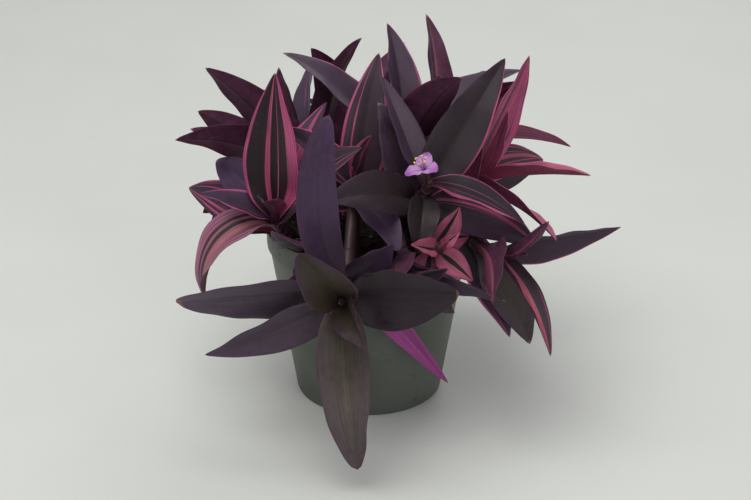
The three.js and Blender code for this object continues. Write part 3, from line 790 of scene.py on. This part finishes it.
def makeShoot(shoot, materials):
    node = "shoot_" + shoot["name"]
    first, *rest = shoot["name"].split("_")
    form = Form(first + "".join(word.title() for word in rest) + "Shoot")
    rng = random.Random(shoot["seed"])
    corners = cornersOf(node)
    draw = drawer(shoot["seed"])
    places = leafPlaces(shoot)
    leaves = []
    for i in range(len(places)):
        leaf = leafOf(shoot, i, [next(draw) for _ in range(9)])
        marks = marksOf(shoot, leaf, rng)
        rib = settledRib(leaf, corners)
        if rib:
            leaves.append((leaf, rib, marks))
    long = addStem(form, shoot, places, rng.random())
    for leaf, rib, marks in leaves:
        addMarginHairs(form, addLeaf(form, leaf, rib, marks, rng), rng)
        below = [place for place in places if place < leaf["t"] - 0.001]
        room = (leaf["t"] - max(below)) * long + 1 if below else stemShape["sheathLong"]
        reach = min(stemShape["sheathLong"], max(stemShape["sheathLeast"], room)) / long
        addSheath(form, shoot, leaf, rib, leaf["t"] - reach, marks, rng)
    if shoot["name"] != "flowering":
        heights = [leaf["t"] for leaf, rib, marks in leaves]
        addBud(form, shoot, leaves[heights.index(max(heights))][2])
    standFor(form.build(materials), node, shoot["slot"])
    print(f"  with {len(leaves)} of its {len(places)} leaves")


# The bluish bloom colour is the leaves' waxy bloom with painted sheen on it; the grey bloom of olive leaves
# is partly painted highlight.
leafColours = {
    "purple": (66, 41, 71), "olive": (62, 56, 34), "blackGreen": (38, 28, 31), "bloomAndSheen": (98, 82, 116),
    "greyHighlightBloom": (136, 128, 116), "magentaPink": (196, 76, 134), "salmonPink": (206, 104, 108),
    "palePink": (214, 146, 170), "underside": (98, 46, 76), "undersideDeep": (64, 33, 54),
    "foot": (112, 58, 82), "spot": (70, 52, 44), "dryTip": (150, 116, 100),
}

leafFinish = {
    "roughness": 0.43, "bloomRoughness": 0.16,
    "veins": 23,  # on each side of the midrib
    "veinDepth": 0.00018, "translucence": 0.12, "specular": 0.28, "sheen": 0.03,
}

# The leaves that show best have stripes of their own, each given by its place across the blade (-1 to 1)
# and its half width, and a few colours of their own.
leafKinds = {
    "tradescantiaLeaf": {},
    "uprightStripedLeaf": {
        "stripes": [(0.95, 0.05), (0.28, 0.07), (-0.1, 0.02), (-0.78, 0.24)],
        "blackGreen": (34, 24, 27),
    },
    "archingStripedLeaf": {
        "stripes": [(-0.84, 0.18), (-0.5, 0.035), (-0.1, 0.2), (0.24, 0.035), (0.54, 0.13), (0.9, 0.12)],
        "magentaPink": (162, 104, 144), "salmonPink": (208, 132, 136),
    },
    "stripedBract": {
        "stripes": [(-0.82, 0.28), (-0.3, 0.004), (0.18, 0.004), (0.46, 0.006), (0.98, 0.012)],
        "blackGreen": (34, 25, 30),
    },
    "smallPinkLeaf": {"stripes": [(-0.58, 0.44), (0.62, 0.34)], "pale": 0.45},
    # Its darker purple and black-green, with a middling pink tone on the leaves that take it, are painted
    # shade on leaves deep in the plant.
    "singleMarginLeaf": {"stripes": [(-0.99, 0.045)], "blackGreen": (29, 21, 24), "purple": (48, 31, 50)},
    # Its bright bluish magenta is the leaf's own pink with painted glow of light shining through it.
    "magentaLeaf": {"stripes": [(0.0, 1.2)], "magentaPink": (180, 70, 160)},
}


def ownStripes(paint, stripes, across, wander, edge):
    bands = [paint.step(half + 0.028, half - 0.016, abs(across - at + wander)) for at, half in stripes]
    pinkness = bands[0]
    for band in bands[1:]:
        pinkness = band.maths("MAXIMUM", pinkness)
    return pinkness * paint.step(0.1, 0.4, edge)


def drawnStripes(paint, across, height, seed, pink, edge, threads, drift):
    place = paint.vector(across * 2.1 + seed * 31, height * 0.2 + seed * 7, seed * 53)
    limit = 0.5 + (0.5 - pink) * 0.56
    striped = paint.step(limit - 0.016, limit + 0.016, paint.noise(place, 1.0, 1.0) * 0.64 + threads * 0.36)
    # A pink margin: on one side only where it is weak, and broken here and there.
    edgeFrom = 1.0 - edge * 0.13
    sided = paint.step(0.0, 0.02, across * (seed - 0.5)).maths("MAXIMUM", paint.step(0.7, 0.8, edge))
    broken = paint.step(0.36, 0.46, drift) * paint.step(0.3, 0.6, edge)
    margin = paint.step(edgeFrom, edgeFrom + 0.05, abs(across) + (threads - 0.5) * 0.12) * sided * broken
    return striped.maths("MAXIMUM", margin)


def leafPaint(name, stripes=(), pale=0.0, **own):
    paint = Paint(name, {**leafColours, **own})
    step = paint.step
    lane, height = paint.uv("blade")
    seed, upper = paint.uv("draw")
    pink, warm = paint.uv("tone")
    edge, bloomAndSheen = paint.uv("accent")
    across = lane * 2 - 1
    apart = abs(across)
    threads = paint.noise(paint.vector(across * 11 + seed * 9, height * 0.7, seed * 19), 1.0, 2.0, 0.6)
    fibres = paint.noise(paint.vector(across * 46, height * 2.2, seed * 5), 1.0, 2.0, 0.6)
    drift = paint.noise(paint.vector(seed * 41, height * 3, across * 0.4), 1.0, 2.0)
    mottle = paint.noise(paint.place(), 240, 3.0)
    if stripes:
        wander = (drift - 0.5) * 0.1 + (threads - 0.5) * 0.03
        pinkness = ownStripes(paint, stripes, across, wander, edge)
    else:
        pinkness = drawnStripes(paint, across, height, seed, pink, edge, threads, drift)

    warmth = warm * (1.2 - apart * 0.6) * (1.2 - height * 0.6)
    # The pale bloom carries painted sheen, and it grows toward the tip as painted highlight.
    highlightedBloom = bloomAndSheen * step(0.2, 0.8, mottle * 0.15 + fibres * 0.5 + drift * 0.35) * (1 - apart * 0.3)
    highlightedBloom = highlightedBloom * (0.55 + height * 0.9)
    # Toward its foot the blade is darkened: partly the leaf's own colour, partly painted shade inside the
    # rosette.
    dark = paint.coat(
        "purple", (warmth, "olive"), (step(0.3, 0.7, pink), "blackGreen"),
        (step(0.5, 0.0, height) * 0.5, "blackGreen"), (step(0.42, 0.66, threads) * 0.3, "undersideDeep"),
        (step(0.55, 0.3, mottle * 0.6 + drift * 0.4) * 0.4, "blackGreen"),
        (highlightedBloom * 0.75, paint.blend(warmth, "bloomAndSheen", "greyHighlightBloom")),
    )
    light = paint.coat(
        "magentaPink", (warm * (1.7 - apart * 1.4), "salmonPink"),
        (step(0.5, 0.72, fibres) * 0.5, "palePink"), (step(0.56, 0.36, fibres) * 0.5, "underside"),
        (step(0.5, 0.75, drift) * 0.35, "underside"), ((1 - apart) * pale, "palePink"),
    )
    top = paint.blend(pinkness * (0.76 + fibres * 0.3), dark, light)
    below = paint.coat(
        "undersideDeep", (step(0.35, 0.65, fibres * 0.5 + mottle * 0.5), "underside"),
        (pinkness * 0.5, light), (warmth * 0.5, dark),
    )
    veins = (across * leafFinish["veins"] * math.pi).maths("SINE") * 0.5 + 0.5
    ribLine = step(0.045, 0.0, apart)
    spots = step(0.66, 0.72, paint.noise(paint.place(), 420, 2.0, 0.4)) * step(0.4, 0.6, drift)
    dryFrom = 0.955 + seed * 0.05
    dry = step(dryFrom, dryFrom + 0.014, height + (threads - 0.5) * 0.05)
    body = paint.coat(
        below, (upper, top), (step(0.14, 0.0, height) * 0.5, "foot"), (veins * 0.2, "blackGreen"),
        (ribLine * 0.4, "blackGreen"), (spots * 0.35, "spot"), (dry * 0.75, "dryTip"),
    )

    rough = leafFinish["roughness"] + highlightedBloom * leafFinish["bloomRoughness"] + (mottle - 0.5) * 0.18
    rough = rough + (1 - upper) * 0.08 + dry * 0.3 + spots * 0.1
    relief = veins * 0.5 + fibres * 0.35 + mottle * 0.5 - ribLine * 0.6 - spots * 0.3
    return paint.finish(
        relief, leafFinish["veinDepth"], 0.6,
        Base_Color=body, Roughness=rough, Specular_IOR_Level=leafFinish["specular"],
        Subsurface_Weight=leafFinish["translucence"], Subsurface_Radius=(1.0, 0.28, 0.5),
        Subsurface_Scale=0.0016, Sheen_Weight=leafFinish["sheen"], Sheen_Roughness=0.4,
        Sheen_Tint=(0.86, 0.82, 1.0, 1),
    )


stemColours = {"green": (60, 53, 40), "purple": (72, 38, 54), "pale": (124, 82, 94)}


def stemPaint():
    paint = Paint("tradescantiaStem", stemColours)
    lane, height = paint.uv("blade")
    seed, upper = paint.uv("draw")
    streaks = paint.noise(paint.vector(lane * 9, height * 1.4, seed * 23), 1.0, 3.0)
    mottle = paint.noise(paint.place(), 420, 3.0)
    body = paint.coat(
        "green", (paint.step(0.35, 0.65, streaks), "purple"),
        (paint.step(0.55, 0.75, mottle) * 0.4, "pale"), (upper * 0.45, "purple"),
    )
    return paint.finish(
        streaks + mottle * 0.4, 0.00018, Base_Color=body, Roughness=0.4 + mottle * 0.2,
        Subsurface_Weight=0.1, Subsurface_Radius=(1.0, 0.3, 0.4), Subsurface_Scale=0.0015,
    )


def hairPaint():
    return grainPaint(
        "paleHairs", (160, 132, 148), (198, 180, 186), 160, 1.0,
        Roughness=0.55, Subsurface_Weight=0.3, Subsurface_Scale=0.0006,
    )


def makeShootMaterials():
    leaves = {name: leafPaint(name, **own) for name, own in leafKinds.items()}
    return {**leaves, "stem": stemPaint(), "hair": hairPaint()}


potShape = {
    "height": 105, "rimRadius": 60, "baseRadius": 43, "wall": 1.4, "floor": 1.6, "rimBand": 12,
    "rimStep": 1.8,
    "lift": 2.2,  # the ring between foot and middle pad stands this far off the ground
    "padRadius": 15, "footInner": 38, "rounding": 0.8, "drains": 8, "drainRadius": 4.5, "drainCircle": 27,
    "drainHeights": (-4, 2, 9), "drainSides": 40, "sides": 144,
}

potColours = {"plastic": (90, 94, 87), "deep": (72, 75, 69), "scuff": (118, 122, 114), "peat": (54, 43, 34)}


def bodyRadius(z):
    shape = potShape
    band = shape["height"] - shape["rimBand"]
    return mix(shape["baseRadius"], shape["rimRadius"] - shape["rimStep"], z / band)


def rounded(outline, radius, bits=5):
    # The outline with each corner between its ends turned into a short curve.
    points = [array(*pair) for pair in outline]
    curve = [points[0]]
    for before, corner, after in zip(points, points[1:], points[2:]):
        back, ahead = before - corner, after - corner
        cut = min(radius, np.linalg.norm(back) * 0.45, np.linalg.norm(ahead) * 0.45)
        start, end = corner + unit(back) * cut, corner + unit(ahead) * cut
        for t in np.linspace(0, 1, bits):
            curve.append(start * (1 - t) ** 2 + corner * 2 * t * (1 - t) + end * t**2)
    return curve + [points[-1]]


def levelRing(radius, z, sides):
    return [(*onCircle(radius, angle), z) for angle in anglesRound(sides)]


def addRound(form, rings, sides, low, high, finish):
    # A solid of rings round the axis, closed by a point on it at either end.
    points = [point for ring in rings for point in ring] + [(0, 0, low), (0, 0, high)]
    faces = tubeFaces(len(rings), sides, closed=False)
    start = len(rings) * sides
    for i in range(sides):
        j = (i + 1) % sides
        faces += [[start, j, i], [start + 1, start - sides + i, start - sides + j]]
    form.add(points, faces, finish)


def potOutline():
    shape = potShape
    wall, floor, top = shape["wall"], shape["floor"], shape["height"]
    band = top - shape["rimBand"]
    lift, pad, foot, rim = shape["lift"], shape["padRadius"], shape["footInner"], shape["rimRadius"]
    outside = [
        (0, 0), (pad - 2, 0), (pad, lift), (foot - 2, lift), (foot, 0), (shape["baseRadius"] - 0.8, 0),
        (bodyRadius(1), 1), (bodyRadius(band), band), (rim - 0.5, band), (rim, top - 0.8), (rim - 0.7, top),
    ]
    inside = [
        (rim - wall, top), (rim - wall - 0.5, top - 0.8), (rim - wall - 0.6, band + wall),
        (bodyRadius(band) - wall, band - 0.5), (bodyRadius(floor) - wall, floor), (foot + 1, floor),
        (foot - 1, lift + floor), (pad + 1, lift + floor), (pad - 1, floor), (0, floor),
    ]
    return rounded(outside + inside, shape["rounding"])


def makePot():
    shape = potShape
    form = Form("potShell")
    start, *outline, end = potOutline()
    rings = [levelRing(*spot, shape["sides"]) for spot in outline]
    addRound(form, rings, shape["sides"], start[1], end[1], "plastic")
    pot = form.build({"plastic": potPaint()})
    drills = Form("drills")
    for i in range(shape["drains"]):
        angle = (i + 0.5) / shape["drains"] * 2 * math.pi
        centres = [(*onCircle(shape["drainCircle"], angle), z) for z in shape["drainHeights"]]
        drills.add(*tube(centres, [shape["drainRadius"]] * len(centres), shape["drainSides"]), "cutter")
    cutter = drills.build({})
    cut = pot.modifiers.new("drains", "BOOLEAN")
    cut.operation = "DIFFERENCE"
    cut.object = cutter
    graph = bpy.context.evaluated_depsgraph_get()
    mesh = bpy.data.meshes.new_from_object(pot.evaluated_get(graph))
    pot.modifiers.clear()
    pot.data = mesh
    mesh.set_sharp_from_angle(angle=math.radians(40))
    bpy.data.objects.remove(cutter)
    standFor(pot, "pot", "pot_plastic")


def potPaint():
    paint = Paint("nurseryPotPlastic", potColours)
    place = paint.place()
    x, y, z = paint.parts(place, 3)
    cloud = paint.noise(place, 16, 3.0)
    grain = paint.noise(place, 900, 2.0)
    scratches = paint.noise(paint.vector(x * 90, y * 90, z * 900), 1.0, 3.0, 0.6)
    specks = paint.noise(place, 190, 4.0, 0.65)
    height = z / (potShape["height"] * mm)
    worn = paint.step(0.6, 0.72, scratches) * 0.35
    nearRim = paint.step(0.8, 0.98, height) + paint.step(0.14, 0.0, height)
    soiled = paint.step(0.56, 0.7, specks) * (0.25 + nearRim * 0.6)
    body = paint.coat(
        "deep", (paint.step(0.3, 0.7, cloud), "plastic"), (worn, "scuff"), (soiled * 0.7, "peat"),
    )
    return paint.finish(
        grain * 0.5 + scratches * 0.6 + soiled * 0.8, 0.00012,
        Base_Color=body, Roughness=0.42 + worn * 0.3 + soiled * 0.35 + cloud * 0.1,
    )


mixShape = {
    "gap": 0.3,
    "clearance": 0.65,  # between the mix and the pot's wall
    "lump": 1.5, "rings": 44, "sides": 150, "grain": 0.55, "crumbs": 620, "crumbSize": (0.45, 1.5),
    "crumbMargin": 2.4, "fibres": 70, "fibreLong": (4, 12), "fibreRadius": (0.22, 0.1), "fibreMargin": 9,
    "fibreBits": 8, "perlite": 46, "perliteSize": (0.6, 1.5), "seed": 5,
}

mixColours = {
    "dark": (34, 25, 19), "brown": (74, 54, 38), "fibre": (112, 84, 56), "perlite": (206, 202, 190),
}


def peatHeight(x, y):
    waves = math.sin(x * 0.21 + 1.3) * math.cos(y * 0.17 - 0.6) + 0.6 * math.sin(x * 0.09 - y * 0.13 + 0.4)
    fine = noise.fractal(Vector((x * 0.33, y * 0.33, 3.7)), 1.0, 2.1, 4)
    return soilTop + mixShape["lump"] * waves / 1.6 + mixShape["grain"] * fine


def addCrumb(form, centre, size, rng, finish):
    # A rough little lump: an eight-faced ball, split once and pushed about.
    points = [array(*p) for p in ((1, 0, 0), (0, 1, 0), (-1, 0, 0), (0, -1, 0), (0, 0, 1), (0, 0, -1))]
    faces, between = [], {}

    def half(a, b):
        key = (min(a, b), max(a, b))
        if key not in between:
            between[key] = len(points)
            points.append(unit(points[a] + points[b]))
        return between[key]

    for pole, sign in ((4, 1), (5, -1)):
        for i in range(4):
            a, b = (i, (i + 1) % 4)[::sign]
            ab, bc, ca = half(a, b), half(b, pole), half(pole, a)
            faces += [[a, ab, ca], [ab, b, bc], [ca, bc, pole], [ab, bc, ca]]
    stretch = array(rng.uniform(0.7, 1.3), rng.uniform(0.7, 1.3), rng.uniform(0.5, 0.9))
    angle = rng.uniform(0, math.pi)
    cos, sin = math.cos(angle), math.sin(angle)
    spin = np.array([[cos, -sin, 0], [sin, cos, 0], [0, 0, 1]])
    shaped = [spin @ (p * stretch * size * rng.uniform(0.75, 1.2)) + centre for p in points]
    form.add(shaped, faces, finish)


def mixEdge(z):
    return bodyRadius(z) - potShape["wall"] - mixShape["clearance"]


def spotOnMix(rng, reach):
    angle, radius = rng.uniform(0, 2 * math.pi), reach * math.sqrt(rng.random())
    x, y = onCircle(radius, angle)
    return array(x, y, peatHeight(x, y))


def addFibre(form, begin, rng):
    bits = mixShape["fibreBits"]
    heading = rng.uniform(0, 2 * math.pi)
    long, bow = rng.uniform(*mixShape["fibreLong"]), rng.uniform(-1.2, 1.2)
    line = []
    for k in range(bits + 1):
        turn = heading + bow * k / bits
        begin = begin + array(math.cos(turn), math.sin(turn), 0) * long / bits
        lift = 0.35 + 0.5 * math.sin(math.pi * k / bits)
        line.append((begin[0], begin[1], peatHeight(begin[0], begin[1]) + lift))
    form.add(*tube(line, np.linspace(*mixShape["fibreRadius"], bits + 1), 6), "fibre")


def makeMix():
    shape = mixShape
    form = Form("pottingMix")
    rng = random.Random(shape["seed"])
    sides = shape["sides"]
    low = potShape["lift"] + potShape["floor"] + shape["gap"]
    rim = mixEdge(soilTop)
    rings = [levelRing(mixEdge(z), z, sides) for z in (low, soilTop * 0.5, soilTop - 4)]
    for share in np.linspace(1, 0, shape["rings"], endpoint=False):
        rings.append([(x, y, peatHeight(x, y)) for x, y, z in levelRing(rim * share, 0, sides)])
    addRound(form, rings, sides, low, peatHeight(0, 0), "peat")
    least, more = shape["crumbSize"]
    reach = rim - shape["crumbMargin"]
    for _ in range(shape["crumbs"]):
        size = least + more * rng.random() ** 3
        addCrumb(form, spotOnMix(rng, reach) + array(0, 0, size * 0.15), size, rng, "peat")
    for _ in range(shape["perlite"]):
        size = rng.uniform(*shape["perliteSize"])
        addCrumb(form, spotOnMix(rng, reach) + array(0, 0, size * 0.1), size, rng, "perlite")
    for _ in range(shape["fibres"]):
        addFibre(form, spotOnMix(rng, rim - shape["fibreMargin"]), rng)
    fibre = grainPaint(
        "pottingMixFibre", mixColours["brown"], mixColours["fibre"], 500, depth=0.0002, Roughness=0.85,
    )
    piece = form.build({"peat": peatPaint(), "fibre": fibre, "perlite": perlitePaint()})
    standFor(piece, "soil", "soil")


def peatPaint():
    paint = Paint("pottingMixPeat", mixColours)
    place = paint.place()
    coarse = paint.noise(place, 130, 4.0, 0.6)
    fine = paint.noise(place, 900, 3.0, 0.6)
    body = paint.blend(paint.step(0.36, 0.7, coarse * 0.6 + fine * 0.4), "dark", "brown")
    return paint.finish(coarse + fine * 0.7, 0.0005, 0.9, Base_Color=body, Roughness=0.82 + fine * 0.15)


def perlitePaint():
    paint = Paint("pottingMixPerlite", mixColours)
    pores = paint.node("TexVoronoi", None, {"Vector": paint.place(), "Scale": 1500})
    body = paint.blend(paint.step(0.5, 0.1, pores), "perlite", "brown")
    return paint.finish(pores, 0.0003, Base_Color=body, Roughness=0.9)


flowerShape = {
    "aim": (-0.34, -0.3, 0.9), "gap": 0.6, "stalk": 9, "stalkRadius": (0.8, 1.3), "petals": 3,
    "petalStations": 23, "petalPoints": 15,
    "petalThickness": 0.11,  # on each side of its middle
    "petal": {"turn": 15, "long": 11, "wide": 10, "open": (50, 98), "drop": 0.8, "full": 0.62},
    "petalRuffle": 0.34,
    "sepal": {"turn": 75, "long": 6.5, "wide": 4, "open": (50, 84), "drop": 1.0, "full": 0.9},
    "sepalRuffle": 0.04, "stamens": 6, "stamenRise": 6.5, "stamenReach": 3.4, "stamenFoot": 0.75,
    "stamenBulge": 1.4, "filament": 0.28, "anther": 0.85, "filamentHairs": 26, "hairLong": (0.8, 1.7),
    "hairThick": 0.05, "seed": 3,
}

flowerColours = {
    "petal": (158, 84, 170), "petalDeep": (104, 48, 136), "petalPale": (208, 160, 216),
    "anther": (232, 190, 60), "pollen": (248, 222, 110), "filament": (168, 112, 178),
}


def addPetal(form, leaf, rng, finish, ruffle):
    # A petal or a sepal: a thin cupped blade with a rounded outline.
    rib = ribOf(leaf)
    count, thick = flowerShape["petalPoints"], flowerShape["petalThickness"]
    stations = np.linspace(0, 1, flowerShape["petalStations"])[:-1] * 0.995
    s, u = np.meshgrid(stations, np.linspace(-1, 1, count), indexing="ij")
    place, side, face = ribAlong(rib, stations)
    width = halfWidth(leaf, s)
    fold = np.radians(mix(leaf["fold"], leaf["footFold"], np.clip(1 - s * 3, 0, 1)))
    raised = np.sqrt(u**2 + 0.04) - 0.2
    waves = np.sin(u * 9 + s * 7 + rng.uniform(0, 6)) * 0.5 + np.sin(s * 14 + u * 3 + rng.uniform(0, 6))
    crinkle = ruffle * waves * np.abs(u)
    across = side * (width * u * np.cos(fold))[:, :, None]
    middle = place + across + face * (width * raised * np.sin(fold) + crinkle)[:, :, None]
    normal = normalsOf(middle)
    rings = np.concatenate([middle + normal * thick, (middle - normal * thick)[:, ::-1]], axis=1)
    lanes = np.concatenate([u[0], u[0][::-1]]) / 2 + 0.5
    addBlade(form, rings, count, rib, lanes, stations, finish, draw=(rng.random(), 1))


def addStamen(form, centre, aim, side, other, angle, rng):
    shape = flowerShape
    way = side * math.cos(angle) + other * math.sin(angle)
    root = centre - aim * 0.4 + way * shape["stamenFoot"]
    tip = centre + aim * shape["stamenRise"] + way * shape["stamenReach"]
    bulge = centre + aim * shape["stamenRise"] * 0.6 + way * shape["stamenBulge"]
    shares = np.linspace(0, 1, 9)[:, None]
    line = root * (1 - shares) ** 2 + bulge * 2 * shares * (1 - shares) + tip * shares**2
    form.add(*tube(line, np.linspace(1.0, 0.7, 9) * shape["filament"], 7), "filament")
    for _ in range(shape["filamentHairs"]):
        k = rng.randint(1, 5)
        spot = mix(line[k], line[k + 1], rng.random())
        spray = side * rng.uniform(-1, 1) + other * rng.uniform(-1, 1) + aim * rng.uniform(-0.3, 0.8)
        long = rng.uniform(*shape["hairLong"])
        addHair(form, spot, spray, long, shape["hairThick"], "petal", blade=(0.2, 0.8), draw=(0.3, 1))
    for lobe in (-0.5, 0.5):
        aside = np.cross(way, aim) * lobe * shape["anther"]
        addCrumb(form, tip + aside, shape["anther"] * 0.75, rng, "anther")


def makeFlower(stem):
    shape = flowerShape
    form = Form("openFlower")
    rng = random.Random(shape["seed"])
    head = next(shoot["head"] for shoot in shootList if shoot["name"] == "flowering")
    aim = unit(array(*shape["aim"]))
    start = array(*head) + aim * shape["gap"]
    centre = start + aim * shape["stalk"]
    stalk = [mix(start, centre, share) for share in np.linspace(-0.1, 1, 10)]
    form.add(*tube(stalk, np.linspace(*shape["stalkRadius"], 10), 12), "green")
    base = {"axis": aim, "radius": 1.2, "sag": 0, "sway": 0, "twist": 0, "fold": 14, "footFold": 30}
    base["skew"] = leafShape["outlineSkew"]
    for i in range(shape["petals"]):
        for kind, finish in (("petal", "petal"), ("sepal", "green")):
            own = shape[kind]
            turn, foot = own["turn"] + 120 * i, centre - aim * own["drop"]
            addPetal(form, {**base, **own, "turn": turn, "foot": foot}, rng, finish, shape[kind + "Ruffle"])
    side = unit(array(1, 0, 0) - aim * aim[0])
    for i in range(shape["stamens"]):
        addStamen(form, centre, aim, side, np.cross(aim, side), i * math.pi / 3 + 0.3, rng)
    piece = form.build({
        "petal": petalPaint(),
        "green": stem,
        "filament": grainPaint(
            "flowerFilament", flowerColours["filament"], flowerColours["petalPale"], 900,
            Roughness=0.5, Subsurface_Weight=0.2, Subsurface_Scale=0.0006,
        ),
        "anther": grainPaint(
            "flowerAnther", flowerColours["anther"], flowerColours["pollen"], 2600,
            depth=0.0001, edges=(0.4, 0.6), Roughness=0.8,
        ),
    })
    standFor(piece, "flower", "petal")


def petalPaint():
    paint = Paint("flowerPetal", flowerColours)
    lane, height = paint.uv("blade")
    apart = abs(lane * 2 - 1)
    threads = paint.noise(paint.vector(lane * 34, height * 1.6, 2.0), 1.0, 2.0)
    body = paint.coat(
        "petalPale", (paint.step(0.2, 1.0, height), "petal"),
        (paint.step(0.52, 0.66, threads) * 0.5, "petalDeep"),
        (paint.step(0.12, 0.0, apart) * 0.4, "petalDeep"),
    )
    return paint.finish(
        threads, 0.00015, Base_Color=body, Roughness=0.5 + threads * 0.2,
        Subsurface_Weight=0.3, Subsurface_Radius=(1.0, 0.5, 0.9), Subsurface_Scale=0.001,
    )


studio = {
    "elevation": 24.5,
    "distance": 1120,
    "target": (4, -10, 92),
    "lens": 92,
    "floorReach": 3000,
    "floor": {"first": (214, 216, 211), "second": (222, 224, 219)},
    "world": 0.33,
    "worldTint": (0.96, 0.98, 1.0, 1),
    # Each light's place and width in metres, its power and its tint.
    "lights": {
        "overheadSoftbox": ((-0.35, -0.35, 1.7), 1.6, 20, (1.0, 0.99, 0.97)),
        "frontFill": ((0.7, -1.8, 0.9), 1.4, 5.5, (0.97, 0.98, 1.0)),
        "backRim": ((0.4, 1.5, 1.2), 1.0, 6, (1.0, 1.0, 1.0)),
    },
}


def setUp(name, data, place, target):
    thing = bpy.data.objects.new(name, data)
    bpy.context.collection.objects.link(thing)
    thing.location = place
    thing.rotation_euler = (Vector(target) - thing.location).to_track_quat("-Z", "Y").to_euler()
    return thing


def makeCamera():
    angle = math.radians(studio["elevation"])
    target = array(*studio["target"]) * mm
    lens = bpy.data.cameras.new("photographersCamera")
    lens.lens = studio["lens"]
    lens.clip_end = 50
    place = target + array(0, -math.cos(angle), math.sin(angle)) * studio["distance"] * mm
    bpy.context.scene.camera = setUp("photographersCamera", lens, place, target)


def makeStudio():
    reach = studio["floorReach"]
    corners = [(-reach, -reach, 0), (reach, -reach, 0), (reach, reach, 0), (-reach, reach, 0)]
    floor = Form("studioFloor")
    floor.add(corners, [[0, 1, 2, 3]], "floor")
    paint = Paint("studioFloor", studio["floor"])
    cloud = paint.noise(paint.place(), 9, 3.0)
    body = paint.blend(cloud, "first", "second")
    floor.build({"floor": paint.finish(Base_Color=body, Roughness=0.6 + cloud * 0.1)})
    for name, (place, size, power, tint) in studio["lights"].items():
        light = bpy.data.lights.new(name, "AREA")
        light.shape = "DISK"
        light.size = size
        light.energy = power
        light.color = tint
        setUp(name, light, place, (0, 0, 0.1))
    world = bpy.data.worlds.new("studioWorld")
    world.use_nodes = True
    background = world.node_tree.nodes["Background"]
    background.inputs["Color"].default_value = studio["worldTint"]
    background.inputs["Strength"].default_value = studio["world"]
    bpy.context.scene.world = world
    bpy.context.scene.view_settings.view_transform = "Standard"
    print("studio: floor, lights and world")


makeCamera()
makePot()
makeMix()
shootMaterials = makeShootMaterials()
for shoot in shootList:
    makeShoot(shoot, shootMaterials)
makeFlower(shootMaterials["stem"])
makeStudio()

print("scene is ready")
